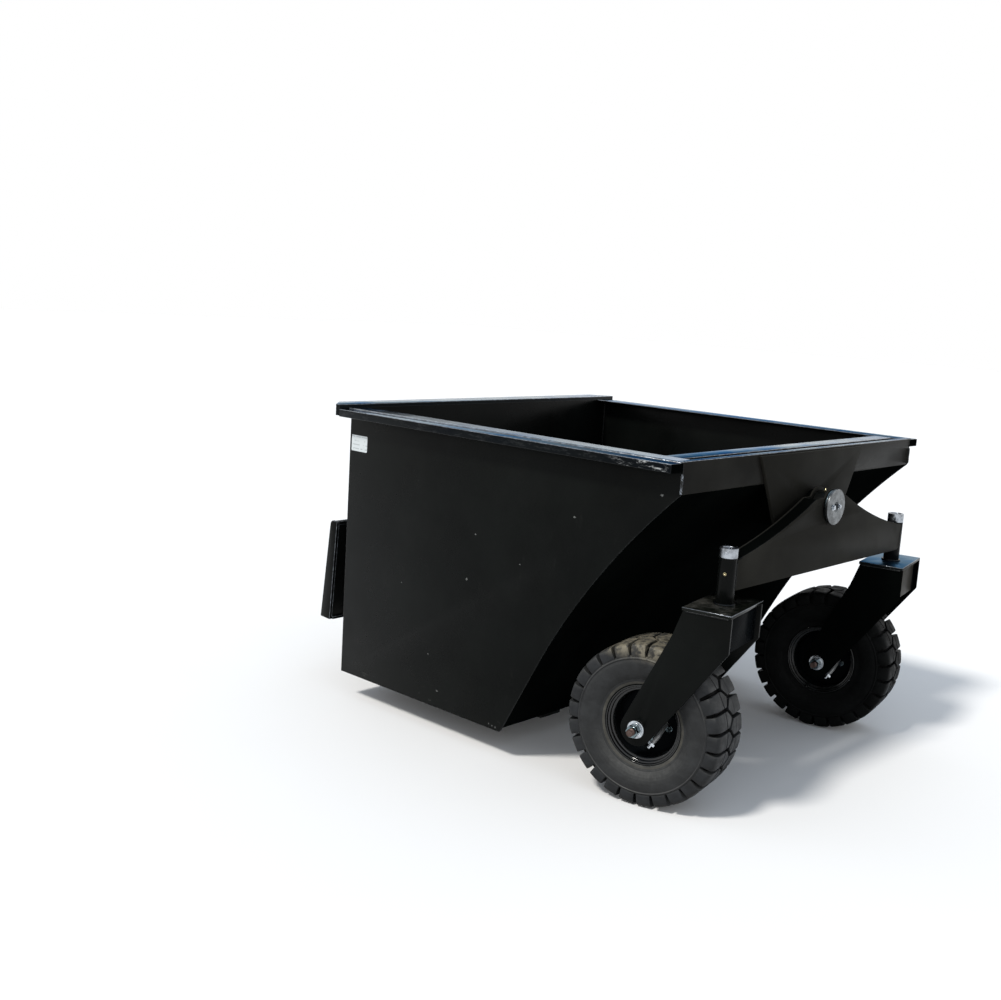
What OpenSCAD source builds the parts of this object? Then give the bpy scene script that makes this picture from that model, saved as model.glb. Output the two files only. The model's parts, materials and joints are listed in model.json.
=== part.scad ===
// Front-carried cart: a welded steel hopper that hangs on a loader's coupler at the
// back and rolls on two casters at the front. The casters sit on an oscillating beam.
// +Z is up, X runs across, -Y is the caster end and +Y the coupler end.
// The tyres stand on z = 0 and the origin is under the middle of the whole cart.

/* [Hopper] */
// Width over the side plates
hopper_w = 1550; // [1400:10:1700]
// Height of the side plates' top edge above the ground
hopper_top = 1130; // [1100:5:1200]
// Height of the side plates' bottom edge above the ground
hopper_bottom = 100; // [90:5:120]
// Length of the flat floor, back face to front edge
floor_len = 846; // [780:2:900]
// Thickness of the hopper's sheet
sheet = 6; // [5:1:8]
// Height of the straight lower stretch of the belly
belly_rise = 260; // [220:5:300]
// Angle of the belly's lower stretch above the horizontal
belly_low_angle = 62.2; // [60:0.1:64]
// Angle of the belly where it meets the fascia
belly_top_angle = 42.5; // [41:0.1:44]
// Radius of the belly's bend
belly_radius = 2470; // [2400:5:2540]

/* [Rims] */
// How far the side rims stand out from the side plates
rim_out = 60; // [40:2:70]
// Height of the side and front rims
rim_h = 28; // [24:1:32]
// Width of the tube along the front rim
front_rim_w = 64; // [50:2:66]
// How far the strips on the side rims reach inside the side plates
rim_in = 60; // [50:2:66]
// How far those strips reach outside the side plates
rim_lap = 12; // [4:1:20]

/* [Beam] */
// Distance from the hopper's back face to the kingpins
kingpin_ahead = 1563; // [1556:1:1575]
// Distance between the two kingpins
track = 1162; // [1100:2:1200]
// Height of the pivot pin's axis
pivot_z = 945; // [940:1:950]
// Radius of the pivot pin
pivot_r = 30; // [26:1:32]
// Height of the beam's flat bottom edge
beam_bottom = 731; // [725:1:737]
// Height of the beam's top edge at its ends
beam_end_top = 826; // [820:1:830]

/* [Casters] */
// Turn of both casters about their kingpins at rest
caster_turn = 10.6; // [-15:0.1:15]
// Distance from kingpin to axle
trail = 200; // [190:1:210]
// Inside width between the fork legs
fork_inside = 240; // [236:1:246]
// Thickness of a fork leg
leg_t = 12; // [10:1:14]
// Height of the fork head's top face
fork_top = 685; // [680:1:686]
// Radius of the kingpin
kingpin_r = 19; // [18:0.5:20]

/* [Wheels] */
// Tyre outside diameter
tyre_d = 533; // [525:1:540]
// Tyre width
tyre_w = 205; // [195:1:210]
// Radius over the rim flanges
flange_r = 131; // [129:1:133]
// Number of lugs on each shoulder
lugs = 26; // [20:1:30]

/* [Coupler] */
// Width of the coupler plate
coupler_w = 1160; // [1120:5:1170]
// Height of the coupler plate
coupler_h = 420; // [410:5:440]
// Lean of the coupler plate, bottom away from the hopper
coupler_lean = 3.5; // [0:0.5:6]
// Spacing of the two wedge slots
slot_spacing = 880; // [840:5:900]

/* [Hidden] */
$fn = 96;
BLACK = [0.11, 0.12, 0.11];
ZINC = [0.78, 0.79, 0.80];
BRASS = [0.80, 0.66, 0.32];
BRONZE = [0.62, 0.45, 0.22];
RUBBER = [0.30, 0.30, 0.29];
WHITE = [0.90, 0.91, 0.90];

// gaps between bodies, and how far a cut runs past what it cuts
running_gap = 0.05;
side_gap = 0.3;
over = 5;

// hopper
back_y = 646;
half_w = hopper_w / 2;
inner_w = hopper_w - 2 * sheet;
belly_inset = 6;
floor_z = hopper_bottom + 12;
straight_len = belly_rise / tan(belly_low_angle);
arc_start_s = floor_len + straight_len;
arc_start_z = hopper_bottom + belly_rise;
hopper_len = arc_start_s + belly_radius * (sin(belly_low_angle) - sin(belly_top_angle));
fascia_z = arc_start_z + belly_radius * (cos(belly_top_angle) - cos(belly_low_angle));
front_y = back_y - hopper_len;
arc_steps = 16;
runner_w = 106;
runner_t = 15;
runner_x = 495;
back_rim_t = 20;
back_rim_low = 1101;
back_rim_high = 1143;
back_rim_depth = 90;
back_rim_sheet = 6;
rim_x = half_w + rim_out;
rim_wall = 4;
groove = 28;
return_w = 20;
strip_t = 4;
side_top = hopper_top - strip_t;

// pivot
bracket_t = 12;
bracket_top_half = 350;
bracket_low_half = 215;
bracket_top = 1123;
bracket_low = 870;
bracket_y = front_y - bracket_t;
bush_wall = 6;
sleeve_wall = 10;
sleeve_r = pivot_r + bush_wall + sleeve_wall;
cap_r = 61;
boss_r = 50;
gusset_x = 150;
gusset_t = 10;
cap_washer_t = 6;
cap_disc_t = 9;
centre_bolt_r = 10;
lock_bolt_r = 4;
lock_bolt_x = 19;

// beam
kingpin_y = back_y - kingpin_ahead;
kingpin_x = track / 2;
tube_r = 28.5;
plate = 6;
beam_front_y = kingpin_y - tube_r;
beam_back_y = kingpin_y + tube_r;
beam_inside = 2 * (tube_r - plate);
beam_half = kingpin_x - 10;
beam_neck = 100;
beam_neck_z = 975;
beam_curve_r = 1900;
tube_low = 690.2;
tube_high = 832;
collar_low = tube_high + side_gap;
collar_h = 31;
collar_r = 29;
bush_t = 4;
bush_len = 36;
zerk_sunk = 1.5;

// caster
head_t = 10;
head_front = 78;
head_back = 82;
head_half = fork_inside / 2 + leg_t + 2;
leg_top = fork_top - head_t;
leg_x = fork_inside / 2;
leg_end_r = 54;
leg_front_low = 566;
leg_elbow = [106, 593];
fork_front_low = 557;
fork_front_t = 8;
washer_t = 5;
thrust_r = 34;
axle_r = 12;
axle_z = tyre_d / 2;
axle_washer_r = 29;
axle_washer_t = 9;
nut_r = 20.8;
nut_t = 24;
bolt_past_nut = 16;
bolt_head_t = 15;

// wheel
valve_r = 7;
rim_half_w = 85;
seat_r = 114;
rim_t = 5;
hub_r = 40;
hub_half = 78;
hub_flange_r = 76;
hub_flange_t = 8;
bearing_r = 26;
bearing_t = 16;
bore_r = 20;
stud_circle = 62;
stud_r = 6;
stud_count = 5;
casing = 16;
shoulder_r = tyre_d / 2 - 6;
lug_depth = 13;
lug_gap = 11;

// coupler
coupler_mid = [0, back_y + 304, 412];
coupler_t = 10;
flange_t = 12;
coupler_inner_w = coupler_w - 2 * flange_t;
hook_t = 12;
hook_relief = 1;
ledge_z = 203;
ledge_t = 10;
ledge_back = back_y + 372;
slot_len = 60;
slot_w = 32;
slot_y = ledge_back - slot_w / 2 - 8;
web_x = [-500, -170, 160, 490];
web_t = 10;

// ---- outlines and placing ----

// The belly's outer line, in from the side plates' edge by d, as [distance ahead, height]
function belly_arc(d) = [for (i = [0:arc_steps])
    let (a = belly_low_angle + (belly_top_angle - belly_low_angle) * i / arc_steps)
    [arc_start_s + belly_radius * (sin(belly_low_angle) - sin(a)) - d * sin(a),
     arc_start_z + belly_radius * (cos(a) - cos(belly_low_angle)) + d * cos(a)]];

// Distance ahead of the back face at height z on the belly's straight stretch
function straight_s(z, d) = floor_len + (z - hopper_bottom) / tan(belly_low_angle) - d / sin(belly_low_angle);

// The beam's top edge from the neck at x = beam_neck out to its end, a hollow arc
function beam_edge(drop) = let (
        dx = beam_half - beam_neck,
        dz = beam_end_top - beam_neck_z,
        half_chord = sqrt(dx * dx + dz * dz) / 2,
        rise = sqrt(beam_curve_r * beam_curve_r - half_chord * half_chord),
        mid = [(beam_half + beam_neck) / 2, (beam_end_top + beam_neck_z) / 2],
        centre = [mid[0] - dz * rise / (2 * half_chord), mid[1] + dx * rise / (2 * half_chord)],
        a0 = atan2(beam_neck_z - centre[1], beam_neck - centre[0]),
        a1 = atan2(beam_end_top - centre[1], beam_half - centre[0]))
    [for (i = [0:8]) let (a = a0 + (a1 - a0) * i / 8)
        [centre[0] + (beam_curve_r + drop) * cos(a), centre[1] + (beam_curve_r + drop) * sin(a)]];

// A sheet that stands along Y, from x to x + t, drawn as [distance ahead, height]
module lengthwise(x, t) {
    translate([x + t, back_y, 0]) rotate([90, 0, -90]) linear_extrude(t) children();
}

// A sheet that stands along X, from y - t to y, drawn as [x, height]
module crosswise(y, t) {
    translate([0, y, 0]) rotate([90, 0, 0]) linear_extrude(t) children();
}

// A round bar along -Y that starts at y
module bar_y(x, y, z, r, len) {
    translate([x, y, z]) rotate([90, 0, 0]) cylinder(r = r, h = len);
}

// A round bar along +X that starts at x
module bar_x(x, y, z, r, len) {
    translate([x, y, z]) rotate([0, 90, 0]) cylinder(r = r, h = len);
}

module tube_z(low, high, r_out, r_in) {
    translate([0, 0, low]) difference() {
        cylinder(r = r_out, h = high - low);
        translate([0, 0, -over]) cylinder(r = r_in, h = high - low + 2 * over);
    }
}

// Puts a caster's parts at its kingpin: local +Y trails towards the hopper
module at_caster(side) {
    translate([side * kingpin_x, kingpin_y, 0]) rotate([0, 0, caster_turn]) children();
}

// Puts a wheel's parts on its axle, with the wheel's own axis along local Z
module at_axle(side) {
    at_caster(side) translate([0, trail, axle_z]) rotate([0, 90, 0]) children();
}

// Puts the coupler's parts on its leaning plate: local +Y points at the loader
module at_coupler() {
    translate(coupler_mid) rotate([coupler_lean, 0, 0]) children();
}

// ---- hopper ----

module side_outline() {
    difference() {
        polygon(concat([[0, side_top], [0, hopper_bottom], [floor_len, hopper_bottom]],
            belly_arc(0), [[hopper_len, side_top]]));
        translate([floor_len - 4, hopper_bottom - 4]) rotate(-14) square([20, 9]);
    }
}

module side_plate(side) {
    color(BLACK) lengthwise(side < 0 ? -half_w : half_w - sheet, sheet) side_outline();
}

module back_plate() {
    color(BLACK) translate([-inner_w / 2, back_y - sheet, floor_z])
        cube([inner_w, sheet, hopper_top - floor_z]);
}

module floor_plate() {
    color(BLACK) lengthwise(-inner_w / 2, inner_w)
        polygon([[sheet, floor_z], [sheet, floor_z + sheet],
            [straight_s(floor_z + sheet, belly_inset + sheet), floor_z + sheet],
            [straight_s(floor_z, belly_inset + sheet), floor_z]]);
}

module belly_plate() {
    color(BLACK) lengthwise(-inner_w / 2, inner_w) difference() {
        polygon(concat([[straight_s(floor_z, belly_inset + sheet), floor_z],
                [straight_s(floor_z, belly_inset), floor_z]],
            belly_arc(belly_inset), [for (i = [arc_steps:-1:0]) belly_arc(belly_inset + sheet)[i]]));
        translate([hopper_len - sheet, fascia_z - 60]) square([60, 200]);
    }
}

module front_fascia() {
    color(BLACK) {
        crosswise(front_y + sheet, sheet) difference() {
            translate([-half_w + sheet, fascia_z]) square([inner_w, hopper_top - fascia_z]);
            for (side = [-1, 1]) translate([side * inner_w / 2, fascia_z])
                rotate(45) square(8, center = true);
        }
        translate([-inner_w / 2, front_y + sheet, hopper_top - sheet])
            cube([inner_w, return_w - sheet, sheet]);
    }
}

// A rectangular tube along Y with its outer faces at the given corners
module side_rim(side) {
    x = side < 0 ? -rim_x : half_w;
    translate([x, front_y, side_top - rim_h]) difference() {
        cube([rim_out, hopper_len, rim_h]);
        translate([rim_wall, -over, rim_wall])
            cube([rim_out - 2 * rim_wall, hopper_len + 2 * over, rim_h - 2 * rim_wall]);
    }
}

// The strip that lies along the side plate's top edge, over part of the tube
module rim_strip(side) {
    width = rim_in + sheet + rim_lap;
    x = side < 0 ? -half_w - rim_lap : half_w + rim_lap - width;
    translate([x, front_y, side_top]) difference() {
        cube([width, hopper_len, strip_t]);
        translate([side < 0 ? rim_lap + sheet : -over, -over, -over])
            cube([rim_in + over, return_w + over, 20]);
        translate([side < 0 ? rim_lap + sheet : -over, hopper_len - sheet, -over])
            cube([rim_in + over, 20, 20]);
    }
}

module side_rims() {
    color(BLACK) for (side = [-1, 1]) {
        side_rim(side);
        rim_strip(side);
    }
}

// The bar along the back plate's top, and the flange over it with its corners cut off
module back_rim() {
    corner = back_rim_depth - back_rim_t;
    color(BLACK) {
        translate([-rim_x, back_y, back_rim_low])
            cube([2 * rim_x, back_rim_t, back_rim_high - back_rim_sheet - back_rim_low]);
        translate([0, back_y, back_rim_high - back_rim_sheet]) linear_extrude(back_rim_sheet)
            polygon([[-rim_x, 0], [rim_x, 0], [rim_x, back_rim_t], [rim_x - corner, back_rim_depth],
                [corner - rim_x, back_rim_depth], [-rim_x, back_rim_t]]);
    }
}

// A tube between the side plates, a strip on it between the side rims' strips, and a strip
// under the groove that joins the tube to the fascia
module front_rim() {
    tube_y = front_y + return_w + groove;
    tube_h = rim_h - strip_t;
    strip_w = inner_w - 2 * rim_in;
    color(BLACK) translate([-inner_w / 2, tube_y, side_top - tube_h]) difference() {
        cube([inner_w, front_rim_w, tube_h]);
        translate([-over, rim_wall, rim_wall])
            cube([inner_w + 2 * over, front_rim_w - 2 * rim_wall, tube_h - 2 * rim_wall]);
    }
    color(BLACK) translate([-strip_w / 2, tube_y, side_top]) cube([strip_w, front_rim_w, strip_t]);
    color(BLACK) translate([-inner_w / 2, front_y + sheet, side_top - tube_h])
        cube([inner_w, tube_y - front_y - sheet, sheet]);
}

module skid_runners() {
    color(BLACK) for (side = [-1, 1])
        translate([side * runner_x - runner_w / 2, back_y - floor_len + 8, floor_z - runner_t])
            cube([runner_w, floor_len - 8 - 40, runner_t]);
}

module label() {
    color(WHITE) translate([-half_w - 0.5, back_y - 98, 970]) cube([0.5, 88, 60]);
}

// ---- pivot ----

module pivot_bracket() {
    color(BLACK) difference() {
        crosswise(front_y, bracket_t)
            polygon([[-bracket_top_half, bracket_top], [-bracket_low_half, bracket_low],
                [bracket_low_half, bracket_low], [bracket_top_half, bracket_top]]);
        bar_y(0, front_y + over, pivot_z, pivot_r, bracket_t + 2 * over);
    }
}

// Everything behind the belly's outer face, for trimming what is welded to it
module behind_belly(width) {
    lengthwise(-width / 2, width) polygon(concat([[0, fascia_z + 300], [0, floor_z],
        [straight_s(floor_z, belly_inset), floor_z]], belly_arc(belly_inset),
        [[hopper_len, fascia_z + 300]]));
}

module pivot_boss() {
    color(BLACK) difference() {
        bar_y(0, front_y + 150, pivot_z, boss_r, 150);
        bar_y(0, front_y + 160, pivot_z, pivot_r, 170);
        behind_belly(4 * boss_r);
    }
}

module bracket_gussets() {
    color(BLACK) for (side = [-1, 1]) difference() {
        translate([side * gusset_x - gusset_t / 2, front_y, bracket_low])
            cube([gusset_t, 190, fascia_z - bracket_low]);
        behind_belly(2 * gusset_x + 4 * gusset_t);
    }
}

module pivot_pin() {
    start = front_y + 60;
    end = beam_front_y - 2;
    color(ZINC) difference() {
        bar_y(0, start, pivot_z, pivot_r, start - end);
        behind_belly(4 * pivot_r);
        bar_y(0, end + 50, pivot_z, centre_bolt_r, 60);
        for (side = [-1, 1])
            bar_y(side * lock_bolt_x, end + 25, pivot_z, lock_bolt_r, 35);
    }
}

module pivot_cap() {
    start = beam_front_y - 2;
    thick = cap_washer_t + cap_disc_t;
    color(ZINC) difference() {
        union() {
            bar_y(0, start, pivot_z, cap_r - 1.5, cap_washer_t);
            bar_y(0, start - cap_washer_t, pivot_z, cap_r, cap_disc_t);
        }
        bar_y(0, start + over, pivot_z, centre_bolt_r, thick + 2 * over);
        for (side = [-1, 1])
            bar_y(side * lock_bolt_x, start + over, pivot_z, lock_bolt_r, thick + 2 * over);
    }
}

module cap_bolts() {
    start = beam_front_y - 2;
    face = start - cap_washer_t - cap_disc_t;
    color(ZINC) {
        bar_y(0, start + 45, pivot_z, centre_bolt_r, 45 + cap_washer_t + cap_disc_t);
        translate([0, face, pivot_z]) rotate([90, 0, 0]) cylinder(r = 13, h = 6, $fn = 6);
        for (side = [-1, 1]) translate([side * lock_bolt_x, 0, 0]) {
            bar_y(0, start + 20, pivot_z, lock_bolt_r, 20 + cap_washer_t + cap_disc_t);
            translate([0, face, pivot_z]) rotate([90, 0, 0]) cylinder(r = 7, h = 5, $fn = 6);
        }
    }
}

// ---- coupler ----

// The face the loader pushes on: it stands on the ledge and ends under the hook
module coupler_plate() {
    color(BLACK) difference() {
        at_coupler() translate([-coupler_inner_w / 2, 0, -coupler_h / 2])
            cube([coupler_inner_w, coupler_t, coupler_h - hook_t]);
        translate([-coupler_w / 2, coupler_mid[1] - 100, 0])
            cube([coupler_w, 200, ledge_z + ledge_t]);
    }
}

// A strip over the plate's top edge whose lip slopes back down behind the loader's frame
module coupler_hook() {
    color(BLACK) at_coupler() translate([0, 0, coupler_h / 2]) rotate([90, 0, 90])
        linear_extrude(coupler_inner_w, center = true)
        polygon([[0, -hook_t], [0, 0], [22, 0], [50, -28], [42, -36], [18, hook_relief - hook_t],
            [coupler_t, hook_relief - hook_t], [coupler_t, -hook_t]]);
}

module coupler_ledge() {
    color(BLACK) difference() {
        translate([-coupler_inner_w / 2, coupler_mid[1] + 4, ledge_z])
            cube([coupler_inner_w, ledge_back - coupler_mid[1] - 4, ledge_t]);
        for (side = [-1, 1]) translate([side * slot_spacing / 2, slot_y, 0])
            for (shift = [-1, 1]) wedge_slot(shift);
    }
}

// Half of a wedge slot: one round end and the stretch from it to the slot's middle
module wedge_slot(shift) {
    reach = (slot_len - slot_w) / 2;
    translate([shift * reach, 0, ledge_z - over]) cylinder(r = slot_w / 2, h = ledge_t + 2 * over);
    translate([shift > 0 ? 0 : -reach, -slot_w / 2, ledge_z - over])
        cube([reach, slot_w, ledge_t + 2 * over]);
}

module coupler_flanges() {
    color(BLACK) for (side = [-1, 1]) at_coupler()
        translate([side > 0 ? coupler_w / 2 - flange_t : -coupler_w / 2, 0, 0])
        rotate([90, 0, 90]) linear_extrude(flange_t)
        polygon([[0, coupler_h / 2], [30, coupler_h / 2], [39, coupler_h / 2 - 8],
            [41, coupler_h / 2 - 18], [58, -coupler_h / 2], [0, -coupler_h / 2]]);
}

module coupler_webs() {
    top = 600;
    low = 230;
    function face_s(z) = back_y - coupler_mid[1] + (z - coupler_mid[2]) * tan(coupler_lean);
    color(BLACK) for (x = web_x) lengthwise(x, web_t)
        polygon([[0, low - 10], [face_s(low), low], [face_s(top), top], [0, top + 60]]);
}

// ---- beam ----

module beam_outline(drop) {
    edge = beam_edge(drop);
    polygon(concat([[-beam_half, beam_bottom], [beam_half - 14, beam_bottom], [beam_half, beam_bottom + 8]],
        [for (i = [8:-1:0]) edge[i]], [for (i = [0:8]) [-edge[i][0], edge[i][1]]]));
}

// The beam's front or rear plate, whose ends run on to the kingpin tubes
module beam_plate(y) {
    color(BLACK) difference() {
        crosswise(y, plate) union() {
            beam_outline(0);
            translate([0, pivot_z]) circle(r = cap_r);
        }
        bar_y(0, y + over, pivot_z, sleeve_r, plate + 2 * over);
        for (side = [-1, 1]) translate([side * kingpin_x, kingpin_y, beam_bottom - over])
            cylinder(r = tube_r, h = 150);
    }
}

// The box's upper skin on each side of the pivot, between the two beam plates
module beam_top_plates() {
    color(BLACK) for (side = [-1, 1]) difference() {
        mirror([side < 0 ? 1 : 0, 0, 0]) crosswise(beam_back_y - plate, beam_inside)
            polygon(concat(beam_edge(0), [for (i = [8:-1:0]) beam_edge(plate)[i]]));
        translate([side * kingpin_x, kingpin_y, beam_bottom]) cylinder(r = tube_r, h = 200);
    }
}

module beam_bottom_plate() {
    width = 2 * (beam_half - 16);
    color(BLACK) difference() {
        translate([-width / 2, beam_front_y + plate, beam_bottom]) cube([width, beam_inside, plate]);
        for (side = [-1, 1]) translate([side * kingpin_x, kingpin_y, beam_bottom - over])
            cylinder(r = tube_r, h = plate + 2 * over);
    }
}

module pivot_sleeve() {
    start = bracket_y - side_gap;
    length = start - beam_front_y + 1.5;
    color(BLACK) difference() {
        bar_y(0, start, pivot_z, sleeve_r, length);
        bar_y(0, start + over, pivot_z, pivot_r + bush_wall, length + 2 * over);
    }
}

module pivot_bushes() {
    start = bracket_y - side_gap;
    length = start - beam_front_y + 1.5;
    bush = 34;
    color(BRONZE) for (y = [start, start - length + bush]) difference() {
        bar_y(0, y, pivot_z, pivot_r + bush_wall, bush);
        bar_y(0, y + over, pivot_z, pivot_r + running_gap, bush + 2 * over);
    }
}

module kingpin_tube(side) {
    color(BLACK) translate([side * kingpin_x, kingpin_y, 0])
        tube_z(tube_low, tube_high, tube_r, kingpin_r + bush_t);
}

module kingpin_bushes() {
    color(BRONZE) for (side = [-1, 1]) translate([side * kingpin_x, kingpin_y, 0])
        for (low = [tube_low, tube_high - bush_len])
            tube_z(low, low + bush_len, kingpin_r + bush_t, kingpin_r + running_gap);
}

// A grease fitting that stands along local +Z
module zerk() {
    cylinder(r = 5.5, h = 5, $fn = 6);
    translate([0, 0, 5]) cylinder(r = 3.6, h = 5);
    translate([0, 0, 10]) cylinder(r1 = 3.6, r2 = 2.2, h = 3);
}

module grease_fittings() {
    color(BRASS) {
        for (side = [-1, 1]) translate([side * kingpin_x, kingpin_y, 785])
            rotate([0, 90, 200]) translate([0, 0, tube_r - zerk_sunk]) zerk();
        translate([0, kingpin_y, pivot_z + sleeve_r - zerk_sunk]) zerk();
    }
}

// ---- casters ----

module kingpin(side) {
    color(ZINC) at_caster(side) translate([0, 0, leg_top])
        cylinder(r = kingpin_r, h = collar_low + collar_h - 3 - leg_top);
}

module collar(side) {
    screw_r = 5;
    color(ZINC) at_caster(side) {
        difference() {
            tube_z(collar_low, collar_low + collar_h, collar_r, kingpin_r);
            translate([0, 0, collar_low + collar_h / 2]) rotate([0, 90, -140])
                translate([0, 0, kingpin_r]) cylinder(r = screw_r, h = 20);
        }
        translate([0, 0, collar_low + collar_h / 2]) rotate([0, 90, -140])
            translate([0, 0, kingpin_r + 0.5]) cylinder(r = screw_r, h = collar_r - kingpin_r + 2);
    }
}

module thrust_washer(side) {
    color(ZINC) at_caster(side) tube_z(fork_top, fork_top + washer_t, thrust_r, kingpin_r);
}

module fork_head(side) {
    color(BLACK) at_caster(side) difference() {
        translate([-head_half, -head_front, leg_top])
            cube([2 * head_half, head_front + head_back, head_t]);
        translate([0, 0, leg_top - over]) cylinder(r = kingpin_r, h = head_t + 2 * over);
    }
}

// A leg's outline as [distance behind the kingpin, height]
module leg_outline() {
    hull() {
        translate([trail, axle_z]) circle(r = leg_end_r, $fn = 48);
        polygon([[-head_front, leg_front_low], [-head_front, 600], leg_elbow]);
    }
    polygon([[-head_front, leg_top], [-head_front, leg_front_low], leg_elbow, [head_back - 4, leg_top]]);
}

module fork_legs(side) {
    color(BLACK) at_caster(side) for (x = [-leg_x - leg_t, leg_x]) difference() {
        translate([x, 0, 0]) rotate([90, 0, 90]) linear_extrude(leg_t) leg_outline();
        bar_x(x - over, trail, axle_z, axle_r, leg_t + 2 * over);
    }
}

module fork_front(side) {
    color(BLACK) at_caster(side) translate([-leg_x, -60, fork_front_low])
        cube([fork_inside, fork_front_t, leg_top - fork_front_low]);
}

module axle(side) {
    out = leg_x + leg_t;
    color(ZINC) at_caster(side) translate([0, trail, axle_z]) {
        // bolt, its head on +X and its nut on -X
        bar_x(-out - axle_washer_t - nut_t - bolt_past_nut, 0, 0, axle_r,
            2 * out + 2 * axle_washer_t + nut_t + bolt_past_nut);
        translate([out + axle_washer_t, 0, 0]) rotate([0, 90, 0])
            cylinder(r = nut_r, h = bolt_head_t, $fn = 6);
        translate([-out - axle_washer_t - nut_t, 0, 0]) rotate([0, 90, 0])
            cylinder(r = nut_r, h = nut_t, $fn = 6);
        for (x = [-out - axle_washer_t, out])
            bar_x(x, 0, 0, axle_washer_r, axle_washer_t);
        // spacers between the legs and the hub's bearings
        for (x = [-leg_x, hub_half + side_gap])
            bar_x(x, 0, 0, axle_r + 5, leg_x - hub_half - side_gap);
    }
}

// ---- wheels, each drawn about local Z with [radius, height] profiles ----

// Half of the tyre's outline, from the crown over the sidewall and the bead to the inside
function tyre_half() = let (half = tyre_w / 2) [
    [tyre_d / 2, half - 28], [shoulder_r, half - 9], [shoulder_r - 16, half - 4],
    [225, half - 3], [219, half - 1], [200, half], [180, half - 1.5], [165, half - 5],
    [150, half - 11], [flange_r + 8, rim_half_w + 1], [flange_r + 2, rim_half_w - 2],
    [flange_r - 2, rim_half_w - 13], [seat_r, rim_half_w - 18], [seat_r, rim_half_w - 40],
    [seat_r + 14, rim_half_w - 44], [145, half - casing - 14],
    [190, half - casing], [222, half - casing - 10], [tyre_d / 2 - 34, half - 44]];

function turned_over(points) = [for (i = [len(points) - 1:-1:0]) [points[i][0], -points[i][1]]];

module tyre(side) {
    color(RUBBER) at_axle(side) difference() {
        rotate_extrude() polygon(concat(tyre_half(), turned_over(tyre_half())));
        for (end = [-1, 1], i = [0:lugs - 1])
            rotate([0, 0, (i + (end > 0 ? 0.5 : 0)) * 360 / lugs])
                translate([tyre_d / 2 - lug_depth, -lug_gap / 2, end > 0 ? 48 : -150])
                cube([40, lug_gap, 102]);
    }
}

// One half of the split rim, drawn towards +Z: disc, barrel, bead seat and flange
module rim_profile() {
    polygon([[hub_r, 0], [hub_r, rim_t], [96, rim_t], [104, 12], [seat_r - rim_t, 40],
        [seat_r - rim_t, rim_half_w - 18], [flange_r - 8, rim_half_w - 12],
        [flange_r - 6, rim_half_w], [flange_r, rim_half_w - 1], [flange_r - 2, rim_half_w - 13],
        [seat_r, rim_half_w - 18], [seat_r, 38], [108, 0]]);
}

module rim_half(side, flip) {
    color(BLACK) at_axle(side) mirror([0, 0, flip ? 1 : 0]) difference() {
        rotate_extrude() rim_profile();
        for (i = [0:stud_count - 1]) rotate([0, 0, i * 360 / stud_count])
            translate([stud_circle, 0, -over]) cylinder(r = stud_r, h = rim_t + 2 * over);
    }
}

module hub(side) {
    color(BLACK) at_axle(side) difference() {
        union() {
            translate([0, 0, -hub_half]) cylinder(r = hub_r, h = 2 * hub_half);
            translate([0, 0, rim_t]) cylinder(r = hub_flange_r, h = hub_flange_t);
        }
        translate([0, 0, -hub_half - over]) cylinder(r = bore_r, h = 2 * hub_half + 2 * over);
        for (z = [-hub_half - over, hub_half - bearing_t])
            translate([0, 0, z]) cylinder(r = bearing_r, h = bearing_t + over);
        for (i = [0:stud_count - 1]) rotate([0, 0, i * 360 / stud_count])
            translate([stud_circle, 0, rim_t - over]) cylinder(r = stud_r, h = hub_flange_t + 2 * over);
    }
}

module bearings(side) {
    color(ZINC) at_axle(side) for (z = [-hub_half, hub_half - bearing_t])
        tube_z(z, z + bearing_t, bearing_r, axle_r + running_gap);
}

module rim_bolts(side) {
    color(ZINC) at_axle(side) for (i = [0:stud_count - 1])
        rotate([0, 0, i * 360 / stud_count]) translate([stud_circle, 0, 0]) {
            translate([0, 0, -rim_t - 14]) cylinder(r = stud_r, h = 2 * rim_t + hub_flange_t + 14);
            translate([0, 0, -rim_t - 10]) cylinder(r = 10, h = 10, $fn = 6);
            translate([0, 0, rim_t + hub_flange_t]) cylinder(r = 10, h = 8, $fn = 6);
        }
}

// A round bar from one point to another
module bar_between(a, b, r) {
    step = b - a;
    translate(a) rotate([0, acos(step[2] / norm(step)), atan2(step[1], step[0])])
        cylinder(r = r, h = norm(step));
}

// The valve: a bent stem that leaves the dish beside the hub and leans out to the -X face
module valve(side) {
    route = [[2, -49, -rim_t], [2, -49, -30], [34, -45, -62], [70, -27, -86]];
    color(ZINC) at_axle(side) {
        for (k = [0 : 2]) bar_between(route[k], route[k + 1], valve_r);
        for (k = [1 : 2]) translate(route[k]) sphere(r = valve_r + 0.4, $fn = 32);
    }
}

side_plate(-1);  // side_plate_left
side_plate(1);  // side_plate_right
back_plate();
floor_plate();
belly_plate();
front_fascia();
side_rims();
back_rim();
front_rim();
skid_runners();
pivot_bracket();
pivot_boss();
bracket_gussets();
pivot_pin();
pivot_cap();
cap_bolts();
coupler_plate();
coupler_hook();
coupler_ledge();
coupler_flanges();
coupler_webs();
label();
beam_plate(beam_front_y + plate);  // beam_front_plate
beam_plate(beam_back_y);  // beam_rear_plate
beam_top_plates();
beam_bottom_plate();
pivot_sleeve();
pivot_bushes();
kingpin_tube(-1);  // kingpin_tube_left
kingpin_tube(1);  // kingpin_tube_right
kingpin_bushes();
grease_fittings();
kingpin(-1);  // kingpin_left
collar(-1);  // collar_left
thrust_washer(-1);  // thrust_washer_left
fork_head(-1);  // fork_head_left
fork_legs(-1);  // fork_legs_left
fork_front(-1);  // fork_front_left
axle(-1);  // axle_left
tyre(-1);  // tyre_left
rim_half(-1, true);  // rim_outer_left
rim_half(-1, false);  // rim_inner_left
hub(-1);  // hub_left
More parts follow.
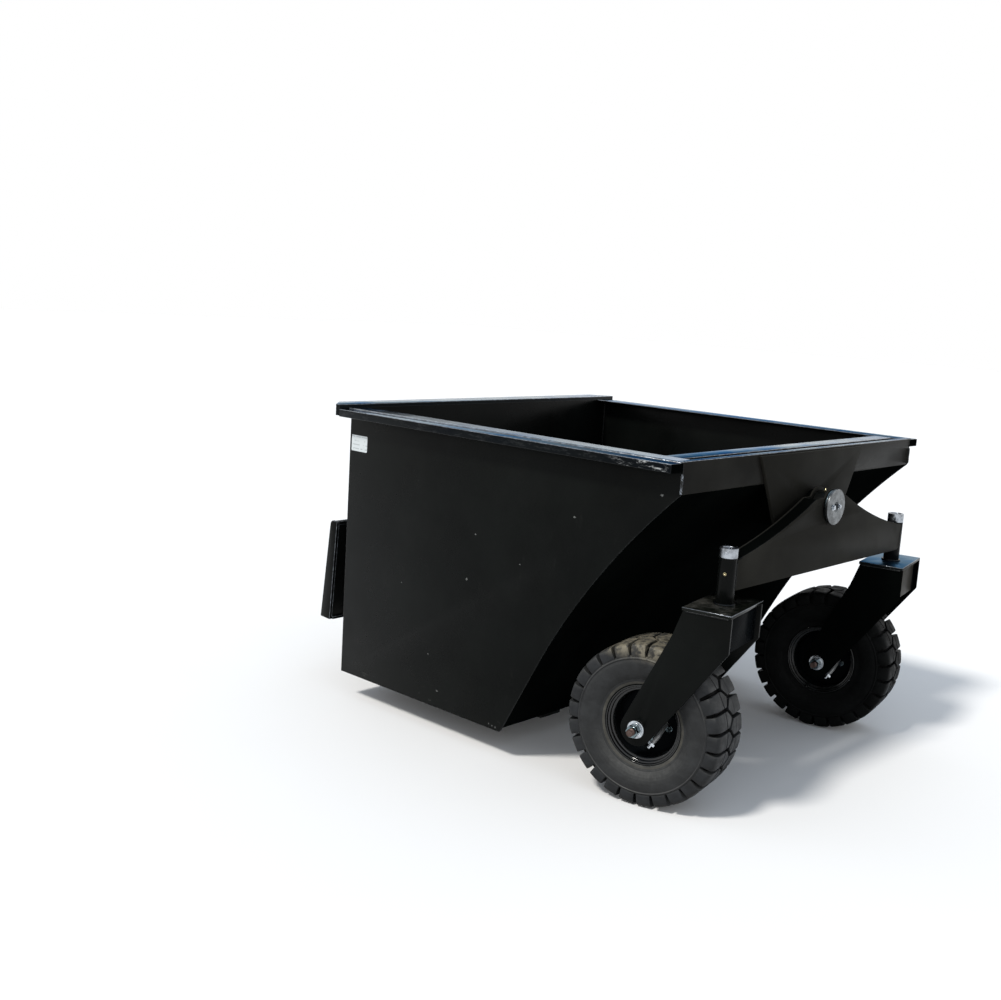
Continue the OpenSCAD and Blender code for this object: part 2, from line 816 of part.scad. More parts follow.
bearings(-1);  // bearings_left
rim_bolts(-1);  // rim_bolts_left
valve(-1);  // valve_left
kingpin(1);  // kingpin_right
collar(1);  // collar_right
thrust_washer(1);  // thrust_washer_right
fork_head(1);  // fork_head_right
fork_legs(1);  // fork_legs_right
fork_front(1);  // fork_front_right
axle(1);  // axle_right
tyre(1);  // tyre_right
rim_half(1, true);  // rim_outer_right
rim_half(1, false);  // rim_inner_right
hub(1);  // hub_right
bearings(1);  // bearings_right
rim_bolts(1);  // rim_bolts_right
valve(1);  // valve_right
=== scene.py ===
import json
import math

import bmesh
import bpy
import numpy as np
from mathutils import Matrix, Vector

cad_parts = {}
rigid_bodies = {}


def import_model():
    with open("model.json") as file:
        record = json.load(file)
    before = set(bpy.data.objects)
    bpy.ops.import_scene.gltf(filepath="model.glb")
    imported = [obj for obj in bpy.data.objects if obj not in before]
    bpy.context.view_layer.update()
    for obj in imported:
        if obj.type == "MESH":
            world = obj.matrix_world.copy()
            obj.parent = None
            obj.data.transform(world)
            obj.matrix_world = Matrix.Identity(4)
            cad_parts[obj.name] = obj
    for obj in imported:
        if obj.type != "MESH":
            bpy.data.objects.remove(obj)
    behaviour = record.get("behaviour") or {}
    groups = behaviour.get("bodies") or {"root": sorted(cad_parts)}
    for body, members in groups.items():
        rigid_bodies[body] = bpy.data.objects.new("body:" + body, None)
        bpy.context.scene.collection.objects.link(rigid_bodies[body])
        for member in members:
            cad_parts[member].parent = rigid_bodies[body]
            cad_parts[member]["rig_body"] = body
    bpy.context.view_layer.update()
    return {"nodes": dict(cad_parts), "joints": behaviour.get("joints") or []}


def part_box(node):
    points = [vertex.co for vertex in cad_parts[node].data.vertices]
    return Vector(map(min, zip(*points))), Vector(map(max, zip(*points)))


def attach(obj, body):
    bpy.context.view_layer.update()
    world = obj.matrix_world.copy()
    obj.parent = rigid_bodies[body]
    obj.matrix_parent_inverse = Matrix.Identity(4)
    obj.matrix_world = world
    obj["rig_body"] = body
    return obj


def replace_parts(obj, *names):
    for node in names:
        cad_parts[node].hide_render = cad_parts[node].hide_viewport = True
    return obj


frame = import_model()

MM = 0.001
SIDES = ("left", "right")
JOINTS = {joint["name"]: joint for joint in frame["joints"]}

# ---- places, worked out from the frame ----


def wheel_place(side):
    """The wheel's own frame: Z along the axle towards +X, and X down."""
    joint = JOINTS["wheel_spin_" + side]
    along = Vector(joint["axis"]).normalized()
    down = Vector((0, 0, -1))
    place = Matrix((down, along.cross(down), along)).transposed().to_4x4()
    place.translation = Vector(joint["pos_m"])
    return place


def caster_place(side):
    """The caster's own frame: Z up the kingpin, Y towards the trailing wheel, on the ground."""
    across = Vector(JOINTS["wheel_spin_" + side]["axis"]).normalized()
    up = Vector((0, 0, 1))
    place = Matrix((across, up.cross(across), up)).transposed().to_4x4()
    pin = Vector(JOINTS["caster_swivel_" + side]["pos_m"])
    place.translation = Vector((pin.x, pin.y, 0))
    return place


def facing(point, outward):
    """A frame at point whose Z looks outward."""
    turn = Vector(outward).to_track_quat("Z", "Y").to_matrix().to_4x4()
    turn.translation = Vector(point)
    return turn


# ---- materials ----


class Shader:
    """A material under construction: short calls for the nodes that it needs."""

    def __init__(self, name):
        self.material = bpy.data.materials.new(name)
        self.material.use_nodes = True
        self.nodes = self.material.node_tree.nodes
        self.links = self.material.node_tree.links
        self.surface = self.nodes["Principled BSDF"]
        self.place = self.nodes.new("ShaderNodeTexCoord").outputs["Object"]

    def set(self, **values):
        for name, value in values.items():
            self.surface.inputs[name.replace("_", " ")].default_value = value

    def feed(self, name, output):
        self.links.new(output, self.surface.inputs[name])

    def stretched(self, scale):
        node = self.nodes.new("ShaderNodeMapping")
        node.inputs["Scale"].default_value = scale
        self.links.new(self.place, node.inputs["Vector"])
        return node.outputs["Vector"]

    def noise(self, scale, detail=3.0, roughness=0.5, vector=None):
        node = self.nodes.new("ShaderNodeTexNoise")
        node.inputs["Scale"].default_value = scale
        node.inputs["Detail"].default_value = detail
        node.inputs["Roughness"].default_value = roughness
        self.links.new(vector or self.place, node.inputs["Vector"])
        return node.outputs["Fac"]

    def band(self, value, low, high, out_low=0.0, out_high=1.0):
        """value from low to high, stretched to out_low to out_high and held there."""
        node = self.nodes.new("ShaderNodeMapRange")
        node.interpolation_type = "SMOOTHSTEP"
        ends = {"From Min": low, "From Max": high, "To Min": out_low, "To Max": out_high}
        for name, number in ends.items():
            node.inputs[name].default_value = number
        self.links.new(value, node.inputs["Value"])
        return node.outputs["Result"]

    def times(self, first, second):
        node = self.nodes.new("ShaderNodeMath")
        node.operation = "MULTIPLY"
        for socket, value in zip(node.inputs, (first, second)):
            if isinstance(value, (int, float)):
                socket.default_value = value
            else:
                self.links.new(value, socket)
        return node.outputs["Value"]

    def mix(self, share, first, second):
        node = self.nodes.new("ShaderNodeMix")
        node.data_type = "RGBA"
        colours = [s for s in node.inputs if s.type == "RGBA"]
        for socket, value in zip(colours, (first, second)):
            if isinstance(value, tuple):
                socket.default_value = (*value, 1.0)
            else:
                self.links.new(value, socket)
        self.links.new(share, node.inputs["Factor"])
        return next(s for s in node.outputs if s.type == "RGBA")

    def axis(self, name):
        node = self.nodes.new("ShaderNodeSeparateXYZ")
        self.links.new(self.place, node.inputs["Vector"])
        return node.outputs[name]

    def facing_up(self):
        normal = self.nodes.new("ShaderNodeNewGeometry").outputs["Normal"]
        node = self.nodes.new("ShaderNodeSeparateXYZ")
        self.links.new(normal, node.inputs["Vector"])
        return node.outputs["Z"]

    def bump(self, *layers):
        """Each layer is (height output, strength, distance in metres)."""
        under = None
        for height, strength, distance in layers:
            node = self.nodes.new("ShaderNodeBump")
            node.inputs["Strength"].default_value = strength
            node.inputs["Distance"].default_value = distance
            self.links.new(height, node.inputs["Height"])
            if under:
                self.links.new(under, node.inputs["Normal"])
            under = node.outputs["Normal"]
        self.feed("Normal", under)


DUST_COLOUR = (0.085, 0.082, 0.074)
BLACK = (0.0020, 0.0024, 0.0023)
# darker rubber for the right tyre: painted shade
SHADED_BLACK_RUBBER = (0.0020, 0.0022, 0.0022)


def stronger(colour, times):
    return tuple(times * c for c in colour)


def paint(name, colour, sheen, gloss=(0.20, 0.34), film=0.03, dust=0.0, scratches=0.0, sky=0.0,
          sky_tint=(0.012, 0.016, 0.021), waves=0.16):
    """Sprayed black paint: clouded colour, a film of dust, thicker dust on top faces, scratches.
    sky is how strongly the faces that look up take a painted blue sky reflection (metallic, tinted blue), and
    waves is how far the sheet is from flat."""
    shader = Shader(name)
    thin = stronger(colour, 1.7)
    tint = shader.mix(shader.band(shader.noise(2.6, 4, 0.6), 0.35, 0.7), colour, thin)
    haze = shader.times(shader.band(shader.noise(7.0, 6, 0.65), 0.42, 0.8), film)
    tint = shader.mix(haze, tint, DUST_COLOUR)
    if dust:
        on_top = shader.band(shader.facing_up(), 0.5, 0.95)
        patches = shader.band(shader.noise(11, 7, 0.7), 0.44, 0.78, 0.0, dust)
        tint = shader.mix(shader.times(on_top, patches), tint, DUST_COLOUR)
    if scratches:
        lines = shader.noise(9, 5, 0.75, shader.stretched((1, 1.2, 26)))
        tint = shader.mix(shader.band(lines, 0.68, 0.74, 0, scratches), tint, (0.12, 0.12, 0.11))
    shader.set(Specular_IOR_Level=sheen)
    # painted reflection: faces that look up turn metallic, tinted blue, standing for the sky mirrored in them
    if sky:
        up = shader.band(shader.facing_up(), 0.90, 0.97, 0.0, sky)
        patchy = shader.band(shader.noise(4, 4, 0.6, shader.stretched((1, 0.6, 1))), 0.36, 0.58)
        tint = shader.mix(up, tint, sky_tint)
        shader.feed("Metallic", up)
        shader.feed("Specular Tint", shader.mix(patchy, (0.30, 0.52, 0.86), (0.72, 0.88, 1.0)))
    shader.feed("Roughness", shader.band(shader.noise(5.5, 5, 0.6), 0.3, 0.75, *gloss))
    shader.bump((shader.noise(3.2, 2, 0.4), waves, 0.008), (shader.noise(420, 2, 0.5), 0.10, 0.0006))
    return shader, tint


def finished(shader, tint):
    shader.feed("Base Color", tint)
    return shader.material


def painted(*settings, **more):
    return finished(*paint(*settings, **more))


def plate_paint():
    """The side plates: faint rubs all over, and scuffs along the bottom."""
    shader, tint = paint("plate_paint", (0.0020, 0.0024, 0.0022), 0.055, (0.24, 0.38), 0.012)
    rub = shader.band(shader.noise(6, 8, 0.78, shader.stretched((1, 3, 1))), 0.60, 0.74, 0, 0.025)
    tint = shader.mix(rub, tint, (0.16, 0.16, 0.15))
    near_foot = shader.band(shader.axis("Z"), 0.20, 0.10)
    scuff = shader.band(shader.noise(46, 6, 0.8, shader.stretched((1, 0.4, 1.6))), 0.62, 0.70, 0, 0.22)
    return finished(shader, shader.mix(shader.times(near_foot, scuff), tint, (0.24, 0.24, 0.23)))


def rim_paint():
    """The rims: rubbed along their length, and worn pale on the left rim's outside near its front."""
    # sky=0.9: painted blue sky reflection on the rims' top faces
    shader, tint = paint("rim_paint", (0.0022, 0.0025, 0.0026), 0.06, (0.08, 0.18), 0.02, 0.03, sky=0.9)
    line = shader.noise(30, 6, 0.75, shader.stretched((1, 0.16, 1)))
    tint = shader.mix(shader.band(line, 0.60, 0.72, 0, 0.012), tint, (0.30, 0.31, 0.32))
    outside = shader.band(shader.axis("X"), -0.8330, -0.8345)
    toward_front = shader.band(shader.axis("Y"), -0.60, -0.76, 0.03, 1.0)
    chips = shader.band(shader.noise(48, 8, 0.8, shader.stretched((1, 0.35, 1.3))), 0.52, 0.60)
    worn = shader.times(shader.times(outside, toward_front), chips)
    return finished(shader, shader.mix(shader.times(worn, 0.9), tint, (0.34, 0.35, 0.35)))


def coupler_paint():
    """The coupler's plates: upright rub marks where the loader's plate slides over the paint."""
    shader, tint = paint("coupler_paint", (0.0022, 0.0025, 0.0024), 0.06, (0.22, 0.36), 0.03, dust=0.08)
    rub = shader.band(shader.noise(22, 7, 0.8, shader.stretched((1.6, 1, 0.22))), 0.58, 0.70, 0, 0.16)
    tint = shader.mix(rub, tint, (0.13, 0.13, 0.125))
    bare = shader.band(shader.noise(14, 8, 0.8, shader.stretched((1.3, 1, 0.5))), 0.67, 0.71, 0, 0.6)
    return finished(shader, shader.mix(bare, tint, (0.16, 0.13, 0.105)))


def worn_edge(name, sheen, pale, metal=0.0, broken=False):
    """Paint on rounded edges: thin, rubbed, with a little grey steel showing through; made pale and metallic,
    it also serves as a painted glint.
    """
    shader, tint = paint(name, (0.0040, 0.0045, 0.0045), sheen, (0.14, 0.28))
    rubbed = shader.band(shader.noise(60, 6, 0.7), 0.44, 0.64, 0.0 if broken else 0.25 * pale, pale)
    if broken:
        rubbed = shader.times(rubbed, shader.band(shader.noise(150, 4, 0.7), 0.44, 0.50))
    if metal:
        shader.feed("Metallic", shader.times(rubbed, metal))
    steel, primer = (0.30, 0.33, 0.37), (0.16, 0.165, 0.17)
    return finished(shader, shader.mix(rubbed, tint, steel if metal else primer))


def plated(name, colour, rough=(0.22, 0.42), machined=False, metal=1.0):
    """Bright plated or machined metal, with faint tool marks and a dull bloom."""
    shader = Shader(name)
    shader.set(Metallic=metal)
    bloom = shader.band(shader.noise(38, 5, 0.6), 0.36, 0.66)
    tint = shader.mix(bloom, colour, stronger(colour, 0.50))
    grime = shader.band(shader.noise(130, 4, 0.7), 0.56, 0.72, 0, 0.6)
    shader.feed("Base Color", shader.mix(grime, tint, (0.10, 0.09, 0.08)))
    shader.feed("Roughness", shader.band(shader.noise(34, 5, 0.6), 0.3, 0.75, *rough))
    marks = shader.noise(900 if machined else 500, 2, 0.5, shader.stretched((1, 1, 0.15)))
    shader.bump((marks, 0.12, 0.0004))
    return shader.material


def rubber(name, colour, sheen, dusty, tan_dust_and_sunlit_top=False):
    """Tyre rubber: charcoal, greyed by dust; darker on faces that look down as painted shade; the dust on
    faces that look up also stands in for light from above; and a tan top, part dust, part painted sunlight.
    """
    shader = Shader(name)
    clouds = shader.band(shader.noise(16, 6, 0.65), 0.35, 0.7)
    tint = shader.mix(clouds, colour, stronger(colour, 1.7))
    worn = shader.band(shader.noise(9, 5, 0.7, shader.stretched((1, 1, 2.2))), 0.40, 0.66, 0.0, 0.55)
    tint = shader.mix(worn, tint, stronger(colour, 2.8))
    up = shader.facing_up()
    # painted shade: faces that look down are darkened
    tint = shader.mix(shader.band(up, -0.55, 0.02, 0.75, 0.0), tint, (0.0015, 0.0016, 0.0017))
    # dust on faces that look up, which also stands in for light from above
    dust_and_skylight_on_top = shader.band(up, -0.02, 0.50, 0.03, 1.0)
    haze = shader.times(dust_and_skylight_on_top, shader.band(shader.noise(70, 8, 0.72), 0.34, 0.72, 0.45 * dusty, dusty))
    tint = shader.mix(haze, tint, (0.080, 0.081, 0.078))
    # tan patches near the top: dust, made lighter as painted sunlight
    if tan_dust_and_sunlit_top:
        patches = shader.band(shader.noise(34, 7, 0.72), 0.40, 0.58, 0.10, 1.0)
        near_top = shader.band(shader.axis("Z"), 0.465, 0.512)
        tint = shader.mix(shader.times(near_top, patches), tint, (0.165, 0.148, 0.110))
    shader.set(Specular_IOR_Level=sheen)
    shader.feed("Roughness", shader.band(shader.noise(30, 5, 0.6), 0.3, 0.7, 0.42, 0.66))
    shader.bump((shader.noise(180, 5, 0.65), 0.16, 0.0010), (shader.noise(900, 2, 0.5), 0.15, 0.0004))
    return finished(shader, tint)


def label_film():
    """A blank white sticker, a little dirty, with a few pale bars where print would be."""
    shader = Shader("label_film")
    bars = shader.nodes.new("ShaderNodeTexWave")
    bars.bands_direction = "Z"
    bars.inputs["Scale"].default_value = 21
    shader.links.new(shader.place, bars.inputs["Vector"])
    gaps = shader.band(shader.noise(60, 1), 0.46, 0.5)
    broken = shader.times(shader.band(bars.outputs["Fac"], 0.80, 0.86), gaps)
    grime = shader.band(shader.noise(40, 5), 0.5, 0.8, 0, 0.4)
    paper = shader.mix(grime, (0.52, 0.56, 0.57), (0.42, 0.45, 0.45))
    shader.feed("Base Color", shader.mix(shader.times(broken, 0.6), paper, (0.24, 0.26, 0.27)))
    shader.feed("Roughness", shader.band(shader.noise(25, 3), 0.3, 0.7, 0.3, 0.45))
    return shader.material


def bare_chip():
    """Where a chip of paint has gone: dull grey metal."""
    shader = Shader("bare_chip")
    shader.feed("Roughness", shader.band(shader.noise(200, 3), 0.3, 0.7, 0.5, 0.8))
    pale, dull = (0.11, 0.115, 0.112), (0.05, 0.052, 0.05)
    return finished(shader, shader.mix(shader.band(shader.noise(300, 4), 0.4, 0.6), pale, dull))


# each finish, and the material slot of the record that it stands for
MATERIALS = {
    "black_paint": {
        "paint": painted("black_paint", BLACK, 0.06, dust=0.05, scratches=0.03),
        # painted shade: near-black paint with no sheen, for parts that sit in shade
        "shade": painted("belly_paint", (0.0010, 0.0013, 0.0012), 0.0, (0.4, 0.5), 0.004),
        # painted reflection: lighter, warmer paint on front faces, standing for the lit ground mirrored in
        # them
        "front": painted("front_paint", (0.0120, 0.0116, 0.0100), 0.012, (0.34, 0.46), 0.02, waves=0.05),
        # the fascia: lighter paint as painted reflection, with a painted sky reflection on its top
        "fascia": painted(
            "fascia_paint", (0.0110, 0.0106, 0.0094), 0.012, (0.16, 0.26), 0.02, sky=0.9, waves=0.05),
        # painted shade: darker paint for parts that sit in shade
        "dim": painted("shaded_paint", (0.0024, 0.0030, 0.0035), 0.004, film=0.006),
        "head_left": painted("dusty_paint", (0.0030, 0.0036, 0.0028), 0.10, (0.10, 0.20), dust=0.75),
        # the right fork head: a painted blue sky reflection on its top, unlike the dusty left one
        "head_right": painted(
            "head_paint", BLACK, 0.05, (0.30, 0.40), 0.02, sky=1.0, sky_tint=(0.035, 0.085, 0.14)),
        # painted reflection: pale olive-grey standing for bright ground mirrored in the right fork's front
        # plate
        "bleached": painted(
            "bleached_paint", (0.030, 0.028, 0.024), 0.02, (0.34, 0.46), 0.02, waves=0.05),
        "gloss": painted("gloss_paint", (0.0018, 0.0022, 0.0022), 0.5, (0.06, 0.14), 0.02),
        "plate": plate_paint(),
        "rim": rim_paint(),
        "coupler": coupler_paint(),
        "coupler_edge": worn_edge("worn_coupler_edge", 0.2, 0.7, 0.5),
        "edge": worn_edge("worn_edge", 0.08, 0.08),
        # pale metal on the top edges: part wear, part painted glint
        "edge_wear_and_glint": worn_edge("worn_and_glinting_rim_edge", 0.5, 1.0, 0.9),
        "weld": worn_edge("weld_paint", 0.10, 0.06),
        "bare_weld": worn_edge("bare_weld", 0.3, 1.0, 0.4, broken=True),
        "chip": bare_chip(),
    },
    "zinc": {
        "zinc": plated("zinc", (0.46, 0.49, 0.53)),
        "disc": plated("turned_zinc", (0.19, 0.20, 0.205), (0.24, 0.36), machined=True),
        "bright": plated("bright_zinc", (0.62, 0.66, 0.70), (0.16, 0.30)),
        "nut": plated("dulled_zinc", (0.20, 0.26, 0.28), (0.14, 0.24)),
        "stem": plated("valve_stem", (0.26, 0.265, 0.265), (0.24, 0.36), metal=0.35),
        "socket": plated("dark_socket", (0.03, 0.035, 0.04), (0.30, 0.45)),
        "rust": plated("rusty_end", (0.13, 0.090, 0.078), (0.40, 0.60)),
    },
    "bearing_steel": {"steel": plated("bearing_steel", (0.36, 0.37, 0.38), (0.18, 0.35))},
    "brass": {"brass": plated("brass", (0.70, 0.60, 0.36), (0.18, 0.30))},
    "bronze": {"bronze": plated("bronze", (0.50, 0.34, 0.16), (0.30, 0.45))},
    "tyre": {
        # the left tyre is the lit copy: lighter rubber, more dust and a tan top that is part painted sunlight;
        # its tread is a darker copy, as painted shade
        "tyre_left": rubber("tyre_rubber_left", (0.0080, 0.0085, 0.0090), 0.26, 0.60, tan_dust_and_sunlit_top=True),
        "tread_left": rubber("tread_rubber_left", (0.0066, 0.0073, 0.0082), 0.22, 0.30, tan_dust_and_sunlit_top=True),
        # the right tyre and tread: a near-black, nearly dustless copy, as painted shade
        "tyre_right": rubber("tyre_rubber_right", SHADED_BLACK_RUBBER, 0.04, 0.03),
        "tread_right": rubber("tread_rubber_right", SHADED_BLACK_RUBBER, 0.04, 0.03),
        "bead": rubber("bead_rubber", (0.028, 0.027, 0.023), 0.16, 0.90),
        # painted shade: darker rubber for the groove floors
        "groove": rubber("groove_shade_rubber", (0.0030, 0.0030, 0.0030), 0.02, 0.03),
    },
    "label": {"label": label_film()},
}
FINISH = {name: finish for group in MATERIALS.values() for name, finish in group.items()}


# ---- mesh helpers ----


def finish_piece(name, mesh, body, finish, place=None, crease=32):
    """Makes a mesh into a piece: placed, smoothed up to creases, painted and riding on its body."""
    if place:
        mesh.transform(place)
    mesh.materials.append(FINISH[finish])
    mesh.shade_smooth()
    mesh.set_sharp_from_angle(angle=math.radians(crease))
    piece = bpy.data.objects.new(name, mesh)
    bpy.context.scene.collection.objects.link(piece)
    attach(piece, body)
    return piece


def build(name, points, faces, body, finish, place=None, crease=32):
    mesh = bpy.data.meshes.new(name)
    mesh.from_pydata([tuple(p) for p in points], [], faces)
    mesh.validate()
    return finish_piece(name, mesh, body, finish, place, crease)


def grid_faces(rows, columns, wrap_rows=False, wrap_columns=False, start=0):
    """Quads over a grid of points stored row by row."""
    faces = []
    for i in range(rows if wrap_rows else rows - 1):
        for j in range(columns if wrap_columns else columns - 1):
            a, b = i * columns + j, i * columns + (j + 1) % columns
            c, d = (i + 1) % rows * columns + (j + 1) % columns, (i + 1) % rows * columns + j
            faces.append(tuple(start + k for k in (a, b, c, d)))
    return faces


def rounded(profile, radius, steps=3, closed=False):
    """The profile with each corner turned into a short curve."""
    points = [Vector(p) for p in profile]
    count = len(points)
    out = [] if closed else [points[0]]
    for i in range(0 if closed else 1, count if closed else count - 1):
        here, before, after = points[i], points[i - 1], points[(i + 1) % count]
        start = here + (before - here).normalized() * min(radius, (before - here).length * 0.45)
        end = here + (after - here).normalized() * min(radius, (after - here).length * 0.45)
        for k in range(steps + 1):
            t = k / steps
            out.append(start * (1 - t) ** 2 + here * 2 * t * (1 - t) + end * t * t)
    if not closed:
        out.append(points[-1])
    return [tuple(p) for p in out]


def lathe(profile, segments=96, closed=False):
    """Points and faces of a profile of (radius, height) turned about Z."""
    points = []
    for radius, height in profile:
        for j in range(segments):
            angle = 2 * math.pi * j / segments
            points.append((radius * math.cos(angle), radius * math.sin(angle), height))
    return points, grid_faces(len(profile), segments, closed, True)


def turned(name, profile, body, finish, place, segments=96, closed=False, radius=0.0006, crease=32):
    points, faces = lathe(rounded(profile, radius, 3, closed), segments, closed)
    return build(name, points, faces, body, finish, place, crease)


def join_parts(parts):
    """Several (points, faces) as one."""
    points, faces = [], []
    for part_points, part_faces in parts:
        start = len(points)
        points += [tuple(p) for p in part_points]
        faces += [tuple(start + k for k in face) for face in part_faces]
    return points, faces


def moved(part, place):
    points, faces = part
    return [tuple(place @ Vector(p)) for p in points], faces


def raised(part, height):
    return moved(part, Matrix.Translation((0, 0, height)))


def mirrored(part):
    """The same part on the other side of Z = 0, with its faces turned to stay outward."""
    points, faces = part
    return [(x, y, -z) for x, y, z in points], [tuple(reversed(face)) for face in faces]


def in_metres(section):
    return [(first * MM, second * MM) for first, second in section]


def upright(node):
    """The middle of a round upright node, and its radius."""
    low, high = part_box(node)
    return (low + high) / 2, (high.x - low.x) / 2


def hexagon(flats, height, bore=0.0, around=72):
    """A hexagon nut or head on Z = 0 with both faces chamfered, as (points, faces)."""
    apothem = flats / 2
    drop = apothem * 0.16
    levels = [0.0, drop * 0.35, drop * 0.7, drop]
    levels += [height - level for level in reversed(levels)]
    points = []
    for ring in [(bore, 0.0)] + [(None, z) for z in levels] + [(bore, height)]:
        for j in range(around):
            angle = 2 * math.pi * j / around
            if ring[0] is None:
                to_face = min(ring[1], height - ring[1])
                flat = apothem / math.cos((angle + math.pi / 6) % (math.pi / 3) - math.pi / 6)
                radius = min(flat, apothem * 0.985 + to_face * 1.7)
            else:
                radius = max(ring[0], 1e-5)
            points.append((radius * math.cos(angle), radius * math.sin(angle), ring[1]))
    return points, grid_faces(len(levels) + 2, around, False, True)


def washer(outer, inner, thick, around=64):
    profile = [(inner, 0), (outer, 0), (outer, thick), (inner, thick)]
    return lathe(rounded(profile, thick * 0.22, 2, True), around, True)


def threaded_end(radius, length, pitch=0.0025, around=40):
    """A bolt's bare end on Z = 0: ridges for its thread and a chamfered tip."""
    profile = [(radius, 0)]
    height = 0.0
    while height + pitch < length - 0.0015:
        profile += [(radius, height), (radius - 0.0012, height + pitch * 0.5)]
        height += pitch
    profile += [(radius, height), (radius - 0.0018, length), (1e-5, length)]
    return lathe(profile, around)


def tube(path, radius, around=14):
    """A round bar along a smooth path, as (points, faces)."""
    path = [Vector(p) for p in path]
    side = (path[1] - path[0]).orthogonal().normalized()
    points = []
    for i, here in enumerate(path):
        along = (path[min(i + 1, len(path) - 1)] - path[max(i - 1, 0)]).normalized()
        side = (side - along * side.dot(along)).normalized()
        up = along.cross(side)
        size = radius[i] if isinstance(radius, (list, tuple)) else radius
        for j in range(around):
            angle = 2 * math.pi * j / around
            points.append(here + side * (size * math.cos(angle)) + up * (size * math.sin(angle)))
    ends = [tuple(range(around)), tuple((len(path) - 1) * around + j for j in reversed(range(around)))]
    return points, grid_faces(len(path), around, False, True) + ends


def softened(node, width, finish="paint", edge="edge", bright_above=None, steps=2, crease=30):
    """A copy of a CAD node with its hard edges rounded and rubbed, shown instead of the node.
    Rounded edges higher than bright_above get pale metal: part wear, part painted glint."""
    shape = bmesh.new()
    shape.from_mesh(frame["nodes"][node].data)
    bmesh.ops.remove_doubles(shape, verts=shape.verts, dist=2e-5)
    bmesh.ops.dissolve_limit(shape, angle_limit=math.radians(0.6), verts=shape.verts, edges=shape.edges)
    sharp = math.radians(crease)
    hard = [e for e in shape.edges if len(e.link_faces) == 2 and e.calc_face_angle(0) > sharp]
    bmesh.ops.bevel(
        shape, geom=hard, offset=width, offset_type="OFFSET", segments=steps, profile=0.5,
        affect="EDGES", clamp_overlap=True, material=1,
    )
    for face in shape.faces if bright_above is not None else ():
        if face.material_index == 1 and face.calc_center_median().z > bright_above:
            face.material_index = 2
    mesh = bpy.data.meshes.new(node + "_shown")
    shape.to_mesh(mesh)
    shape.free()
    piece = finish_piece(node + "_shown", mesh, frame["nodes"][node]["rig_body"], finish, crease=40)
    mesh.materials.append(FINISH[edge])
    mesh.materials.append(FINISH["edge_wear_and_glint"])
    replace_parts(piece, node)
    return piece


def weld(name, path, body, radius=0.0035, pitch=0.0075, finish="weld"):
    """A ripple bead along a line of points, each ripple leaning back over the last."""
    path = [Vector(p) for p in path]
    steps_between = []
    for a, b in zip(path, path[1:]):
        count = max(2, int((b - a).length / (pitch / 4)))
        steps_between += [a.lerp(b, k / count) for k in range(count)]
    steps_between.append(path[-1])
    length, radii = 0.0, []
    for i, point in enumerate(steps_between):
        length += (point - steps_between[i - 1]).length if i else 0
        ripple = 0.5 + 0.5 * math.cos(2 * math.pi * length / pitch)
        wander = 0.08 * math.sin(length * 61) + 0.05 * math.sin(length * 173)
        radii.append(radius * (0.80 + 0.24 * ripple + wander))
    return build(name, *tube(steps_between, radii, 8), body, finish, crease=60)


# ---- hopper ----


def hopper_plates():
    for side in SIDES:
        softened("side_plate_" + side, 0.0012, "plate")
    for node in ("back_plate", "floor_plate"):
        softened(node, 0.0008, "plate")
    # the belly in painted shade
    softened("belly_plate", 0.0008, "shade", "shade")
    # the fascia and rims carry painted reflections: lighter front paint, and blue sky on their tops
    for node, finish, edge in (
        ("front_fascia", "fascia", "front"), ("side_rims", "rim", "edge"), ("back_rim", "rim", "edge"),
        ("front_rim", "rim", "edge"),
    ):
        softened(node, 0.0020, finish, edge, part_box(node)[1].z - 0.006)
    softened("skid_runners", 0.0015)
    rim_end_shade_plates()


def rim_end_shade_plates():
    """Near-black plates that close the front ends of the side rims' tubes: painted shade at the tubes' ends.
    """
    low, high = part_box("side_rims")
    half = -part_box("side_plate_left")[0].x
    parts = []
    for sign in (-1, 1):
        a, b = sorted((sign * (half + 0.0005), sign * (high.x - 0.0005)))
        corners = [(a, high.z - 0.0315), (b, high.z - 0.0315), (b, high.z - 0.0048), (a, high.z - 0.0048)]
        points = [(x, y, z) for y in (low.y - 0.0008, low.y + 0.0010) for x, z in corners]
        faces = [(0, 1, 2, 3), (7, 6, 5, 4)] + [(k, k + 4, (k + 1) % 4 + 4, (k + 1) % 4) for k in range(4)]
        parts.append((points, faces))
    build("rim_end_shade_plates", *join_parts(parts), "hopper", "shade")


def coupler():
    for node in ("coupler_plate", "coupler_hook", "coupler_ledge", "coupler_flanges"):
        softened(node, 0.0015, "coupler", "coupler_edge")
    softened("coupler_webs", 0.0015)


def coupler_welds():
    """Beads down both faces of each web, where it meets the hopper's back."""
    low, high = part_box("coupler_webs")
    shape = frame["nodes"]["coupler_webs"].data
    faces = sorted({round(vertex.co.x, 4) for vertex in shape.vertices})
    for k, x in enumerate(faces):
        outward = -1 if k % 2 == 0 else 1
        ends = [(x + outward * 0.0012, low.y + 0.002, z) for z in (low.z + 0.03, high.z - 0.015)]
        weld(f"weld_web_back_{k}", ends, "hopper", 0.0034)


def bracket():
    # the bracket in the lighter front paint: painted reflection
    softened("pivot_bracket", 0.0012, "front", "front")
    # the boss and gussets in painted shade
    for node in ("pivot_boss", "bracket_gussets"):
        softened(node, 0.0015, "shade", "shade")


def beam():
    # the beam's plates in the lighter front paint: painted reflection
    for node in ("beam_front_plate", "beam_rear_plate", "beam_bottom_plate"):
        softened(node, 0.0010, "front", "front")
    # the top plates in painted shade
    softened("beam_top_plates", 0.0011, "shade")
    softened("pivot_sleeve", 0.0012)
    for side in SIDES:
        softened("kingpin_tube_" + side, 0.0012)


